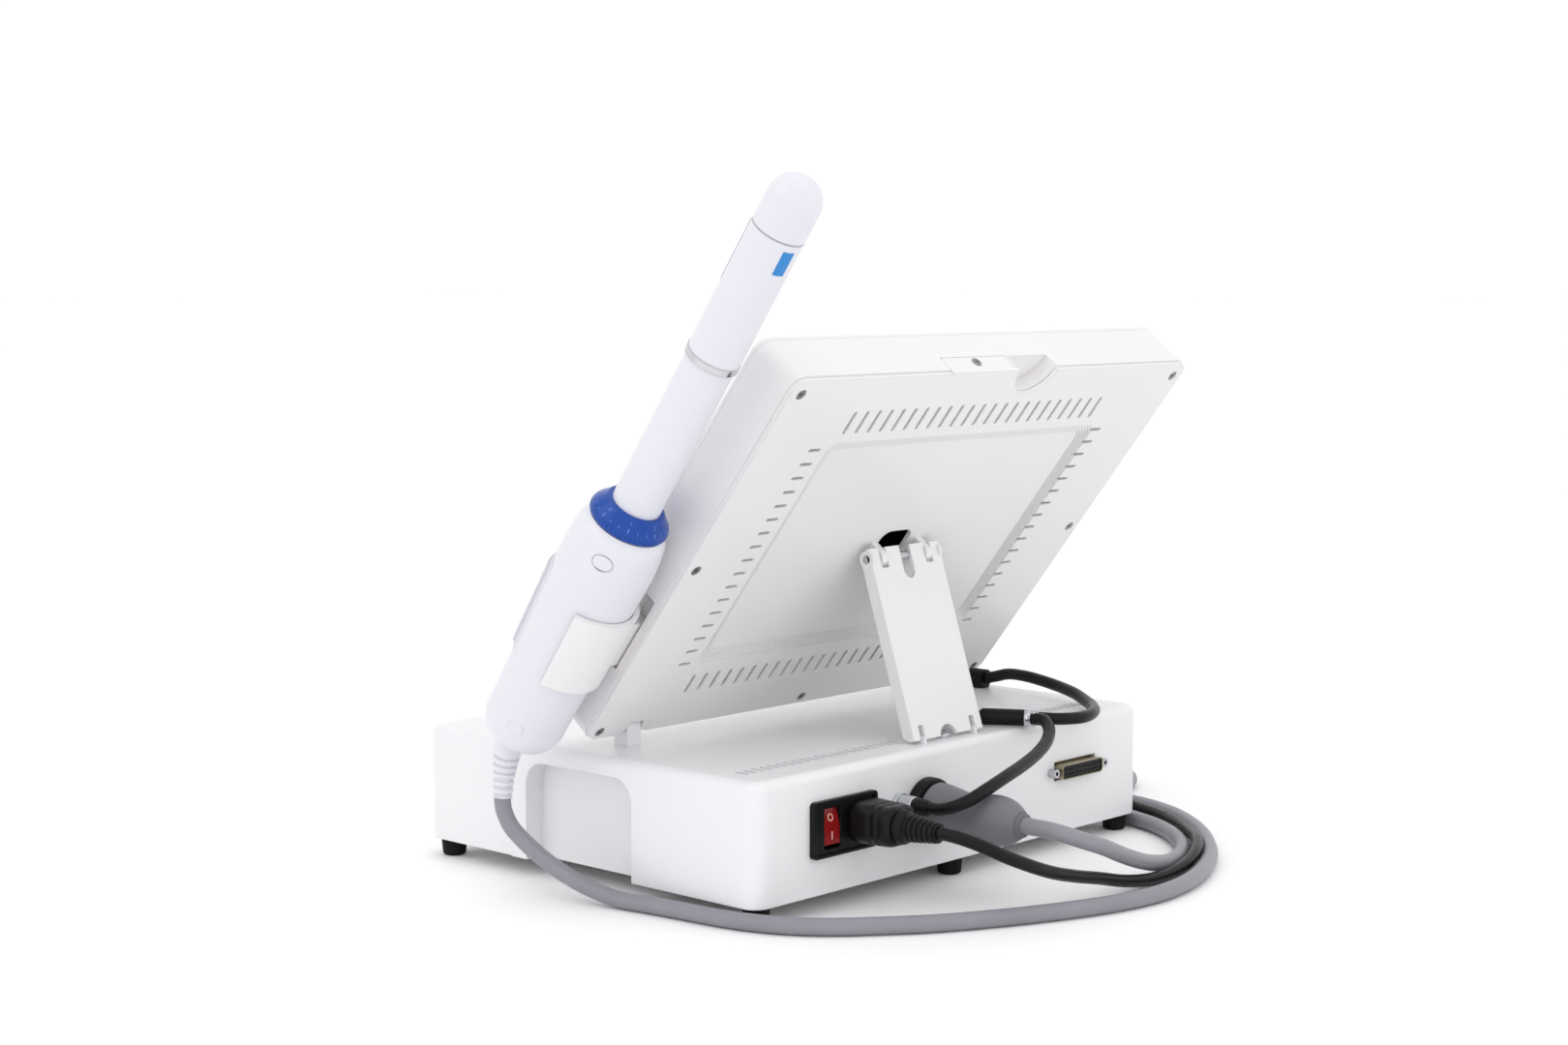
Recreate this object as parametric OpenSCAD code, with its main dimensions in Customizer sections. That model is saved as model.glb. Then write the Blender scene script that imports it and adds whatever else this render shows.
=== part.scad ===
// Portable tabletop ultrasound treatment console, seen from its rear:
// base box, tilted screen unit on a prop leg, probe handpiece in a side cradle, and leads.
// Millimetres. +Z is up, -Y is the front, +X is the handpiece's side.

/* [Base] */
// Width of the base housing
base_w = 334; // [330:1:338]
// Depth of the base housing
base_d = 258; // [256:1:260]
// Height of the base housing above its feet
base_h = 65.4; // [65:0.1:66]
// Height of the rubber feet
foot_h = 10; // [9.5:0.5:11]
// Wall thickness of the base housing
base_wall = 3; // [2.6:0.1:3.4]

/* [Screen] */
// Width of the screen unit
screen_w = 338; // [336:1:339]
// Height of the screen unit along its back
screen_h = 251.6; // [250:0.2:253]
// Thickness of the screen unit
screen_t = 34; // [33:0.5:36]
// Tilt of the screen from horizontal
screen_tilt = 51.8; // [51:0.1:53]
// Wall thickness of the screen housing
screen_wall = 2.8; // [2.4:0.1:3]

/* [Leg] */
// Width of the prop leg
leg_w = 60; // [58:0.5:62]
// Height of the leg's pivot along the screen's back
leg_up = 122; // [121:0.5:123]
// Distance of the leg's foot behind the middle of the base
leg_foot_y = 115; // [113:0.5:116]

/* [Handpiece] */
// Distance of the handpiece's axis from the middle of the base
hand_x = 197.5; // [197.5:0.5:199]
// Tilt of the handpiece from horizontal
hand_tilt = 54.3; // [54:0.1:55]
// Length of the handle from its shoulder to the dial seat
handle_len = 120; // [120:0.5:121]
// Radius of the handle at its shoulder
handle_r = 22.2; // [22:0.1:22.4]
// Radius of the blue dial
dial_r = 21.2; // [21:0.1:21.6]
// Radius of the lower probe shaft
shaft_r = 13.1; // [13:0.1:13.4]
// Radius of the upper probe shaft
probe_r = 13.9; // [13.8:0.1:14.2]
// Length from the handle's shoulder to the tip
tip_len = 328.9; // [328:0.1:330]

/* [Leads] */
// Diameter of the grey probe lead
probe_lead_d = 9; // [8.8:0.1:9]
// Diameter of the black mains lead
mains_lead_d = 7; // [6.8:0.1:7]
// Diameter of the black link lead
link_lead_d = 7; // [6.8:0.1:7]

/* [Hidden] */
$fn = 72;
eps = 0.01;
fit = 0.05;

// Levels and planes
top_z = foot_h + base_h;
side_x = base_w / 2;
rear_y = base_d / 2;
corner_r = 9;
edge_r = 5;

// Lower back edge of the screen unit
screen_y = 3.9;
screen_z = top_z + 6.2;
screen_up = [0, cos(screen_tilt), sin(screen_tilt)];
screen_in = [0, -sin(screen_tilt), cos(screen_tilt)];

// Screen hinge, in the screen's own frame: up the back, and in from the back
hinge_up = 3;
hinge_in = 5;
hinge_r = 2.5;
hinge_x = 134;
hinge_y = screen_y + hinge_up * screen_up[1] + hinge_in * screen_in[1];
hinge_z = screen_z + hinge_up * screen_up[2] + hinge_in * screen_in[2];

// Leg pivot, a little outside the back of the screen
leg_out = 5;
leg_pivot_y = screen_y + leg_up * screen_up[1] - leg_out * screen_in[1];
leg_pivot_z = screen_z + leg_up * screen_up[2] - leg_out * screen_in[2];
leg_foot_z = top_z + 1;
leg_len = norm([leg_pivot_y - leg_foot_y, leg_pivot_z - leg_foot_z]);
leg_turn = atan2(leg_pivot_z - leg_foot_z, leg_pivot_y - leg_foot_y);
leg_pin_r = 2.5;
lug_x = 19;
lug_t = 5;

// Handpiece: the shoulder point on its axis
hand_y = -1;
hand_z = 109;
hand_up = [0, cos(hand_tilt), sin(hand_tilt)];
handle_slope = 0.03;
// Direction of the handle's rear side, turned from +X towards the rear
facing = 34;
dial_at = 120.4;
band_at = 222;
seam_at = 299;

// Side recess for the hanging lead
recess_y0 = -44.5;
recess_y1 = 38.5;
recess_top = 65;
recess_deep = 12;
step_y = -57;
step_deep = 1.2;

// Rear panel
inlet_x = 101.3;
inlet_z = 44.8;
plug_x = 88;
jack_x = 56;
jack_z = 49;
socket_x = 33;
socket_z = 43;
db_x = -102.3;
db_z = 46;
db_pitch = 47.04;

// Middle of the whole object's box, without its leads, from the middle of the base
hand_reach = hand_x + handle_r + handle_slope * 100;
tip_reach = hand_y + (tip_len - probe_r) * hand_up[1] + probe_r;
mid_x = (hand_reach - screen_w / 2) / 2;
mid_y = (tip_reach - base_d / 2) / 2;

// Routes of the leads, chosen points along their middles. The probe lead starts below the
// strain relief, clear of the path that the relief sweeps as the screen tilts.
relief_points = [
    [hand_x, -19, 91], [hand_x, -22, 84], [hand_x, -24.8, 76], [hand_x, -27.4, 65],
    [hand_x, -29, 52]
];
hand_route = [
    [196.5, -23, 36], [194.5, -12, 27.5], [191, 2.5, 18.5], [186, 21, 10], [181, 42, 5],
    [177.5, 61, 4.6], [174.5, 85, 4.6], [171, 114, 4.6], [162, 141, 4.6], [148, 161, 4.6],
    [128, 179, 4.6], [108, 194.5, 4.6], [84, 208.5, 4.6], [57, 221.5, 4.6], [28, 233, 4.6],
    [3, 240, 4.6], [-22, 243, 4.6], [-47, 241, 4.6], [-72, 234.5, 4.6], [-96, 224.5, 4.6],
    [-120, 211, 4.6], [-143, 194, 4.6], [-164, 175.5, 4.6], [-182, 155, 4.6], [-196, 134, 4.6],
    [-205, 112, 4.6], [-210, 90, 4.6], [-217, 74, 4.6], [-227, 65, 4.6], [-240.8, 62.3, 4.6]
];
panel_route = [
    [socket_x, 196.4, 43], [33, 204, 43], [31.5, 212, 42.5], [27, 218.5, 40.5], [17, 222, 36.5],
    [-1, 222.5, 30], [-20, 220.5, 22.5], [-40, 217.5, 15.5], [-60, 213.5, 10], [-80, 208.5, 6.2],
    [-101, 202, 4.6], [-124, 189.5, 4.6], [-144, 171, 4.6], [-159, 150, 4.6], [-169, 126, 4.6],
    [-176, 99, 4.6], [-180.5, 72, 5], [-181.6, 48, 8.6], [-181.4, 28, 12.4], [-181.4, 8, 13.7]
];
mains_route = [
    [plug_x, 184, 46], [87, 191, 45.6], [84.5, 198.5, 44], [80, 206, 41], [72, 213, 36],
    [59, 217.5, 30], [40, 219, 23], [18, 218.5, 17], [-4, 218, 12], [-25, 218.5, 7],
    [-46, 219.4, 4], [-68, 219, 3.6], [-89, 216.2, 5.4], [-110, 208.2, 8], [-131, 194.6, 8.8],
    [-150, 177, 7.4], [-167, 157.5, 6.6], [-181, 135, 6.6], [-189, 110, 7], [-191.3, 86, 10.2],
    [-190.8, 60, 16.6], [-190, 34, 21.4], [-189.9, 8, 21.8]
];
// End of the mains lead, from its coil to its plug
mains_end_route = [
    [-191.5, 8, 28.8], [-191.5, -8, 28.4], [-192, -20, 25.8], [-193, -32, 22], [-194.8, -44, 17],
    [-196.4, -56, 13], [-197.1, -68, 12], [-197.2, -82, 12]
];
link_jack_route = [
    [jack_x, 141, 49], [jack_x, 150, 49.2], [56, 158, 49.6], [55, 166, 52], [50.5, 172.5, 55.5], [40, 175.5, 60],
    [21.5, 174, 64], [-2.5, 168.5, 67], [-24, 162, 70], [-41, 155, 73.5], [-52.5, 147.5, 77.5],
    [-58, 139.5, 80.5], [-57.5, 132, 80.5]
];
link_screen_route = [
    [-150, 25, 81.5], [-150, 33, 83.4], [-149.6, 43, 86], [-147.6, 57, 86.6], [-146, 72, 85.4],
    [-143, 87, 83.8], [-136.5, 103, 82.4], [-127.5, 118, 80.6], [-116, 131.5, 80],
    [-103, 141.5, 80], [-88, 147.5, 80], [-77, 147.5, 80.2], [-67.5, 142, 80.4], [-62, 133, 80.5]
];
trunk_route = [
    [-45, 106, 80.5], [-40.5, 99, 80.5], [-38.5, 92, 80.5], [-38, 84, 80.5], [-38, 78, 80.5]
];

// Coils that hold the leads' spare length
probe_coil_at = [-236, 8, 0];
probe_coil_r = 50;
mains_coil_at = [-236, 8, 18.2];
mains_coil_r = 39;

// ---- shared shapes ----

// Moves a shape from the middle of the base to the object's own frame
module home() {
    translate([-mid_x, -mid_y, 0])
        children();
}

// The screen's frame: +Y up its back, +Z in from its back
module on_screen() {
    translate([0, screen_y, screen_z])
        rotate([screen_tilt, 0, 0])
            children();
}

// The leg's frame: +Y from foot to pivot, -Z out to the rear
module on_leg() {
    translate([0, leg_foot_y, leg_foot_z])
        rotate([leg_turn, 0, 0])
            children();
}

// The handpiece's frame: +Z along its axis
module on_hand() {
    translate([hand_x, hand_y, hand_z])
        rotate([hand_tilt - 90, 0, 0])
            children();
}

// Rectangle with round corners, centred
module round_rect(w, d, r) {
    square([w - 2 * r, d], center = true);
    square([w, d - 2 * r], center = true);
    for (x = [-1, 1], y = [-1, 1])
        translate([x * (w / 2 - r), y * (d / 2 - r)])
            circle(r);
}

// Section of a slab with both upper edges rounded, standing on the X axis
module crowned(w, h, r) {
    translate([-w / 2, 0])
        square([w, h - r]);
    translate([-w / 2 + r, 0])
        square([w - 2 * r, h]);
    for (s = [-1, 1])
        translate([s * (w / 2 - r), h - r])
            circle(r);
}

// Box with round corners and a round upper edge
module soft_box(w, d, h, r, e) {
    translate([0, d / 2 - r, 0])
        rotate([90, 0, 0])
            linear_extrude(d - 2 * r)
                crowned(w, h, e);
    translate([-w / 2 + r, 0, 0])
        rotate([90, 0, 90])
            linear_extrude(w - 2 * r)
                crowned(d, h, e);
    for (x = [-1, 1], y = [-1, 1])
        translate([x * (w / 2 - r), y * (d / 2 - r), 0])
            rotate_extrude()
                intersection() {
                    crowned(2 * r, h, e);
                    square([r, h]);
                }
}

// Points of a ring across a route at point i, by the route's direction there
function along(p, i) =
    let (a = p[max(i - 1, 0)], b = p[min(i + 1, len(p) - 1)])
    (b - a) / norm(b - a);
function across(t) =
    let (v = abs(t[2]) > 0.9 ? [1, 0, 0] : [0, 0, 1], c = cross(t, v))
    c / norm(c);
function ring(c, t, r, sides) =
    let (u = across(t), v = cross(t, u))
    [for (k = [0:sides - 1]) c + r * (cos(360 * k / sides) * u + sin(360 * k / sides) * v)];

// Tube swept along a route, with a radius for each point
module swept(p, radii, sides) {
    n = len(p);
    points = [for (i = [0:n - 1]) each ring(p[i], along(p, i), radii[i], sides)];
    walls = [
        for (i = [0:n - 2], k = [0:sides - 1])
            let (m = (k + 1) % sides)
            [i * sides + k, i * sides + m, (i + 1) * sides + m, (i + 1) * sides + k]
    ];
    first = [for (k = [0:sides - 1]) sides - 1 - k];
    last = [for (k = [0:sides - 1]) (n - 1) * sides + k];
    polyhedron(points, concat([first], walls, [last]), convexity = 6);
}

module lead(p, d, sides) {
    swept(p, [for (q = p) d / 2], sides);
}

// Slot with round ends, cut through a wall, running up the Y axis
module slot(x, y, len, w, deep) {
    translate([x, y, -deep])
        linear_extrude(2 * deep)
            round_rect(w, len, w / 2 - eps);
}

// ---- base ----

module recess_outline(grow) {
    r = 13 + grow;
    width = recess_y1 - recess_y0 + 2 * grow;
    height = recess_top - foot_h + grow;
    translate([(recess_y0 + recess_y1) / 2, foot_h])
        intersection() {
            round_rect(width, 2 * height, r);
            translate([-width / 2, 0])
                square([width, height]);
        }
}

// Front part of the side, set back by a step with a round upper corner
module side_step() {
    r = 22;
    translate([side_x - step_deep, 0, 0])
        rotate([90, 0, 90])
            linear_extrude(10)
                difference() {
                    translate([-base_d / 2 - 5, 0])
                        square([step_y + base_d / 2 + 5 + r, top_z + 5]);
                    translate([step_y, -1])
                        square([r + 5, top_z - r + 1]);
                    translate([step_y + r, top_z - r])
                        circle(r);
                }
}

module hinge_lug(x) {
    translate([x - 5, 0, 0])
        rotate([90, 0, 90])
            linear_extrude(10)
                difference() {
                    union() {
                        translate([hinge_y, hinge_z])
                            circle(5);
                        translate([hinge_y - 5, top_z - 2])
                            square([10, hinge_z - top_z + 2]);
                    }
                    translate([hinge_y, hinge_z])
                        circle(hinge_r + fit);
                }
}

module base_shell() color("white") home() {
    difference() {
        union() {
            difference() {
                translate([0, 0, foot_h])
                    soft_box(base_w, base_d, base_h, corner_r, edge_r);
                translate([0, 0, foot_h - 1])
                    linear_extrude(base_h - base_wall + 1)
                        round_rect(base_w - 2 * base_wall, base_d - 2 * base_wall, 6);
            }
            translate([side_x - recess_deep - base_wall, 0, 0])
                rotate([90, 0, 90])
                    linear_extrude(recess_deep)
                        recess_outline(base_wall);
        }
        translate([side_x - recess_deep, 0, 0])
            rotate([90, 0, 90])
                linear_extrude(recess_deep + 5)
                    union() {
                        recess_outline(0);
                        translate([recess_y0, foot_h - 5])
                            square([recess_y1 - recess_y0, 10]);
                    }
        side_step();
        // inlet, jack, socket and 25-way connector openings
        translate([inlet_x, rear_y, inlet_z])
            cube([47.4, 20, 26], center = true);
        translate([jack_x, rear_y + 5, jack_z])
            rotate([90, 0, 0])
                cylinder(h = 20, r = 5);
        translate([socket_x, rear_y + 5, socket_z])
            rotate([90, 0, 0])
                cylinder(h = 20, r = 12);
        translate([db_x, rear_y, db_z])
            cube([39.4, 20, 11], center = true);
        for (s = [-1, 1])
            translate([db_x + s * db_pitch / 2, rear_y + 5, db_z])
                rotate([90, 0, 0])
                    cylinder(h = 20, r = 1.7);
        // vent rows in the top
        for (s = [-1, 1], k = [0:20])
            translate([s * (30 + 6 * k), 103, top_z])
                cube([3, 9, 20], center = true);
        // hole for the stop screw
        translate([0, leg_foot_y - 1, top_z - 10])
            cylinder(h = 20, r = 1.6);
    }
    for (s = [-1, 1])
        hinge_lug(s * hinge_x);
    // tabs that locate the leg's foot
    for (s = [-1, 1])
        translate([s * 22, leg_foot_y, top_z + 1])
            cube([2.6, 9, 6], center = true);
}

module base_bottom() color("gainsboro") home() {
    difference() {
        translate([0, 0, foot_h])
            linear_extrude(base_wall)
                round_rect(base_w - 2 * base_wall - 0.4, base_d - 2 * base_wall - 0.4, 5.8);
        translate([side_x - recess_deep - base_wall - 0.3, recess_y0 - base_wall - 0.3, 0])
            cube([30, recess_y1 - recess_y0 + 2 * base_wall + 0.6, 30]);
        for (k = [0:9], s = [-1, 1])
            translate([s * 40, -60 + 12 * k, foot_h])
                cube([40, 4, 20], center = true);
    }
}

module foot(x, y) color("black") home() {
    translate([x, y, 0])
        rotate_extrude()
            polygon([[0, 0], [5.6, 0], [6.6, 1], [7.4, foot_h], [0, foot_h]]);
}

module foot_front_right() foot(156, -119);
module foot_front_middle() foot(0, -119);
module foot_front_left() foot(-156, -119);
module foot_rear_right() foot(156, 119);
module foot_rear_middle() foot(0, 119);
module foot_rear_left() foot(-156, 119);

// Inlet block: flange with a raised rim, the plug's cavity and the rocker's window
module inlet() color("black") home() {
    translate([inlet_x, rear_y, inlet_z])
        rotate([-90, 0, 0])
            difference() {
                union() {
                    linear_extrude(3)
                        round_rect(50.4, 30, 2.5);
                    translate([0, 0, -22])
                        linear_extrude(22 + eps)
                            round_rect(47, 25.6, 1);
                }
                translate([plug_x - inlet_x, -1, -16])
                    linear_extrude(30)
                        round_rect(18.8, 16, 2);
                translate([9.6, 0, -16])
                    linear_extrude(30)
                        round_rect(12.6, 22, 0.6);
                // step of the front rim
                translate([0, 0, 1.8])
                    linear_extrude(5)
                        round_rect(46, 27, 1);
            }
}

module rocker() color("red") home() {
    // pivot, across the switch
    translate([inlet_x + 9.6 - 6.2, rear_y - 4, inlet_z])
        rotate([0, 90, 0])
            cylinder(h = 12.4, r = 1.6);
    translate([inlet_x + 9.6, rear_y - 3, inlet_z])
        rotate([8, 0, 0])
            rotate([90, 0, 90])
                translate([0, 0, -5.9])
                    linear_extrude(11.8)
                        polygon([[-6, -9], [3.4, -9.4], [4.6, 0], [3.4, 9.4], [-6, 9]]);
}

module jack_socket() color("silver") home() {
    translate([jack_x, rear_y + 3, jack_z])
        rotate([90, 0, 0])
            difference() {
                union() {
                    cylinder(h = 3, r = 5.8);
                    cylinder(h = 14, r = 4.9);
                }
                translate([0, 0, -eps])
                    cylinder(h = 12, r = 3);
            }
}

module jack_plug() color("silver") home() {
    translate([jack_x, rear_y + 12, jack_z])
        rotate([90, 0, 0])
            union() {
                cylinder(h = 8.9, r = 5.2);
                translate([0, 0, 8.8])
                    cylinder(h = 9, r = 2.9);
            }
}

module socket_collar() color("black") home() {
    translate([socket_x, rear_y + 7, socket_z])
        rotate([90, 0, 0])
            difference() {
                union() {
                    cylinder(h = 7, r = 17);
                    translate([0, 0, 6.9])
                        cylinder(h = 14, r = 11.9);
                }
                translate([0, 0, -eps])
                    cylinder(h = 18, r = 10.5);
            }
}

module db25_shell() color("darkkhaki") home() {
    translate([db_x, rear_y, db_z])
        rotate([-90, 0, 0])
            difference() {
                union() {
                    // flange, behind the panel
                    translate([0, 0, -base_wall - 1.2])
                        linear_extrude(1.2)
                            round_rect(53, 12.5, 1.5);
                    translate([0, 0, -6])
                        linear_extrude(12)
                            round_rect(38.8, 8.6, 2.4);
                }
                translate([0, 0, -7])
                    linear_extrude(20)
                        round_rect(37.6, 7.4, 1.8);
                for (s = [-1, 1])
                    translate([s * db_pitch / 2, 0, -5])
                        cylinder(h = 10, r = 1.7);
            }
}

module db25_insulator() color("black") home() {
    translate([db_x, rear_y, db_z])
        rotate([-90, 0, 0])
            difference() {
                translate([0, 0, -6])
                    linear_extrude(11.4)
                        round_rect(37.4, 7.2, 1.7);
                for (k = [0:12])
                    translate([(k - 6) * 2.77, -1.42, 2])
                        cylinder(h = 10, r = 0.55);
                for (k = [0:11])
                    translate([(k - 5.5) * 2.77, 1.42, 2])
                        cylinder(h = 10, r = 0.55);
            }
}

module db25_screws() color("silver") home() {
    for (s = [-1, 1])
        translate([db_x + s * db_pitch / 2, rear_y, db_z])
            rotate([-90, 0, 0])
                difference() {
                    union() {
                        cylinder(h = 5, r = 2.75, $fn = 6);
                        translate([0, 0, -7])
                            cylinder(h = 7.1, r = 1.6);
                    }
                    translate([0, 0, -2])
                        cylinder(h = 8, r = 1.25);
                }
}

module leg_stop_screw() color("dimgray") home() {
    translate([0, leg_foot_y - 1, top_z]) {
        translate([0, 0, -7])
            cylinder(h = 7, r = 1.5);
        rotate_extrude()
            polygon([[0, 0], [4.2, 0], [4.2, 1.6], [3.2, 2.6], [0, 3]]);
    }
}

module power_supply() color("silver") home() {
    translate([20, 30, foot_h + base_wall + 3])
        cube([110, 75, 34]);
    for (x = [26, 124], y = [36, 99])
        translate([x, y, foot_h + base_wall])
            cylinder(h = 4, r = 3);
}

module main_board() color("green") home() {
    translate([-140, -95, foot_h + base_wall + 8])
        cube([130, 110, 1.6]);
    translate([-120, -70, foot_h + base_wall + 9.5])
        cube([30, 30, 6]);
    translate([-70, -40, foot_h + base_wall + 9.5])
        cube([40, 24, 14]);
    for (x = [-134, -16], y = [-89, 9])
        translate([x, y, foot_h + base_wall])
            cylinder(h = 9, r = 3);
}

module link_base_plug() color("black") home() {
    translate([-150, 14, 81.5])
        rotate([-90, 0, 0])
            cylinder(h = 11.9, r = 5.5);
    translate([-154, 14, top_z])
        cube([8, 11, 5]);
}

module link_lead_screen() color("black") home() lead(link_screen_route, link_lead_d, 10);

module link_lead_jack() color("black") home() lead(link_jack_route, link_lead_d, 10);

module link_trunk() color("black") home() lead(trunk_route, link_lead_d, 10);

link_dir = [15, -25.5, 0];
module along_link(p) {
    translate(p)
        rotate([0, 0, atan2(link_dir[1], link_dir[0])])
            rotate([0, 90, 0])
                children();
}

module link_barrel() color("black") home()
    along_link([-57.2, 126.8, 80.5])
        cylinder(h = 25, r = 4.75);

// Ferrule where the two leads meet, with a mouth for each
module link_ferrule() color("silver") home()
    along_link([-60.4, 132.2, 80.5])
        difference() {
            cylinder(h = 6.2, r = 5.1);
            translate([0, 0, -eps])
                cylinder(h = 1.2, r = 4.4);
        }

module trunk_grommet() color("black") home() {
    translate([trunk_route[4][0], trunk_route[4][1] - 1, 80.5])
        rotate([-90, 0, 0])
            difference() {
                cylinder(h = 6, r = 5.1);
                translate([0, 0, 1])
                    cylinder(h = 10, r = link_lead_d / 2);
            }
    translate([trunk_route[4][0] - 4, trunk_route[4][1] - 1, top_z])
        cube([8, 6, 1.2]);
}

// ---- screen unit ----

module hinge_notch(x) {
    translate([x - 11, -5, -5])
        cube([22, 5 + hinge_up + 6.5, 5 + hinge_in + 8]);
}

module screen_housing() color("white") home() on_screen() {
    difference() {
        union() {
            translate([0, screen_h / 2, 2.6])
                linear_extrude(screen_t - 3 - 2.6)
                    difference() {
                        round_rect(screen_w, screen_h, 9);
                        round_rect(screen_w - 2 * screen_wall, screen_h - 2 * screen_wall, 6.4);
                    }
            // pocket behind the slot in the side
            translate([screen_w / 2 - 8.2, 47.4, 4.4])
                cube([7, 51.2, 12.2]);
        }
        for (s = [-1, 1])
            hinge_notch(s * hinge_x);
        // slot that the cradle hooks into
        translate([screen_w / 2 - 6.6, 49, 6])
            cube([20, 48, 9]);
        finger_notch();
        translate([-8.2, screen_h - 1.5, -1])
            cube([56.4, 5, 13.6]);
        translate([22, screen_h + 1, 8])
            rotate([90, 0, 0])
                cylinder(h = 20, r = 1.6);
    }
    finger_cup();
}

// Scoop for a finger in the upper edge, beside the screwed tab
module finger_notch() {
    translate([-25.5, screen_h + 0.5, 0])
        cylinder(h = 24, r = 17.5, center = true);
}

module finger_cup() {
    difference() {
        translate([-25.5, screen_h + 0.5, 2.9])
            cylinder(h = 11.3, r = 19.6);
        finger_notch();
        translate([-60, screen_h, -10])
            cube([80, 40, 40]);
    }
}

module vent_slots() {
    for (k = [0:22])
        slot(-102 + 9.6 * k, 221, 15, 2.4, 10);
    for (k = [0:22])
        slot(-102 + 9.6 * k, 34.5, 13, 2.4, 10);
    for (k = [0:16], s = [-1, 1])
        translate([3 + s * 121, 51.5 + 9.5 * k, -10])
            linear_extrude(20)
                round_rect(9, 2, 0.95);
}

cover_screw_at = [
    [160, 242], [-160, 242], [160, 124], [-160, 124], [160, 6], [-160, 6], [0, 6]
];

module rear_cover() color("white") home() on_screen() {
    difference() {
        union() {
            translate([0, screen_h / 2, 0])
                linear_extrude(2.6)
                    round_rect(screen_w - 1.6, screen_h - 1.6, 8.2);
            translate([0, screen_h / 2, 2.5])
                linear_extrude(3)
                    difference() {
                        round_rect(screen_w - 2 * screen_wall - 0.5, screen_h - 2 * screen_wall - 0.5, 6);
                        round_rect(screen_w - 2 * screen_wall - 6, screen_h - 2 * screen_wall - 6, 4);
                    }
            // floor of the shallow pocket
            translate([0, 129, 2.5])
                linear_extrude(3)
                    round_rect(232, 160, 8);
            for (p = cover_screw_at)
                translate([p[0], p[1], 2.5])
                    cylinder(h = 4, r = 3.1);
            // tab that wraps onto the upper face
            translate([-8, screen_h - 1.4, 0])
                cube([56, 1.4, 12.4]);
        }
        // shallow pocket with bevelled sides
        translate([0, 129, 0])
            pocket_cut();
        vent_slots();
        for (p = cover_screw_at)
            translate([p[0], p[1], -eps]) {
                cylinder(h = 1.6, r = 3.1);
                cylinder(h = 20, r = 1.4);
            }
        // opening above the leg
        translate([3, leg_up + 2.5, -10])
            linear_extrude(30)
                round_rect(25, 19, 6.3);
        for (s = [-1, 1])
            hinge_notch(s * hinge_x);
        finger_notch();
        translate([-25.5, screen_h + 0.5, 2.75])
            cylinder(h = 20, r = 19.9);
        translate([22, screen_h + 1, 8])
            rotate([90, 0, 0])
                cylinder(h = 20, r = 1.6);
        // room for the pocket behind the side slot
        translate([screen_w / 2 - 9.5, 46, 2.75])
            cube([12, 54, 10]);
    }
    // lugs that carry the leg
    for (s = [-1, 1])
        leg_lug(s * lug_x);
    for (s = [-1, 1])
        hinge_ears(s * hinge_x);
}

module pocket_cut() {
    steps = 6;
    for (k = [0:steps - 1])
        translate([0, 0, -1])
            linear_extrude(1 + 3 * (k + 1) / steps)
                round_rect(228 - 2.4 * k, 156 - 2.4 * k, 6);
}

module leg_lug(x) {
    translate([x - lug_t / 2, 0, 0])
        rotate([90, 0, 90])
            linear_extrude(lug_t)
                difference() {
                    union() {
                        translate([leg_up, -leg_out])
                            circle(4.6);
                        translate([leg_up - 4.6, -leg_out])
                            square([9.2, leg_out + 4.5]);
                    }
                    translate([leg_up, -leg_out])
                        circle(leg_pin_r + fit);
                }
}

module hinge_ears(x) {
    for (s = [-1, 1])
        translate([x + s * 8.4 - 2.6, 0, 0])
            rotate([90, 0, 90])
                linear_extrude(5.2)
                    difference() {
                        union() {
                            translate([hinge_up, hinge_in])
                                circle(4.8);
                            translate([hinge_up - 1.8, hinge_in - 4.8])
                                square([9, 9.6]);
                        }
                        translate([hinge_up, hinge_in])
                            circle(hinge_r);
                    }
}

module front_bezel() color("white") home() on_screen() {
    difference() {
        translate([0, screen_h / 2, screen_t - 3])
            soft_box(screen_w, screen_h, 3, 9, 1.5);
        translate([0, screen_h / 2 + 2, screen_t - 10])
            linear_extrude(20)
                round_rect(246, 186, 3);
    }
}

module lcd_panel() color("darkslategray") home() on_screen() {
    translate([0, screen_h / 2 + 2, screen_t - 10.2])
        linear_extrude(6)
            round_rect(262, 200, 2);
}

module touch_glass() color("black") home() on_screen() {
    translate([0, screen_h / 2 + 2, screen_t - 4.1])
        linear_extrude(1)
            round_rect(258, 196, 4);
    translate([0, screen_h / 2 + 2, screen_t - 3.2])
        linear_extrude(2)
            round_rect(245.4, 185.4, 2.7);
}

module display_board() color("green") home() on_screen() {
    translate([-100, 150, 12])
        cube([120, 60, 1.6]);
    translate([-70, 165, 13.5])
        cube([34, 26, 4]);
}

module cover_screws() color("dimgray") home() on_screen() {
    for (p = cover_screw_at)
        translate([p[0], p[1], 0.3]) {
            cylinder(h = 1.25, r = 2.8);
            translate([0, 0, 1.2])
                cylinder(h = 5, r = 1.35);
        }
    translate([22, screen_h, 8])
        rotate([90, 0, 0]) {
            translate([0, 0, -0.6])
                cylinder(h = 0.6, r = 2.8);
            cylinder(h = 5, r = 1.35);
        }
}

module hinge_pin(x) {
    translate([x - 11, hinge_y, hinge_z])
        rotate([0, 90, 0])
            cylinder(h = 22, r = hinge_r);
}

module hinge_pin_right() color("silver") home() hinge_pin(hinge_x);
module hinge_pin_left() color("silver") home() hinge_pin(-hinge_x);

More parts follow.
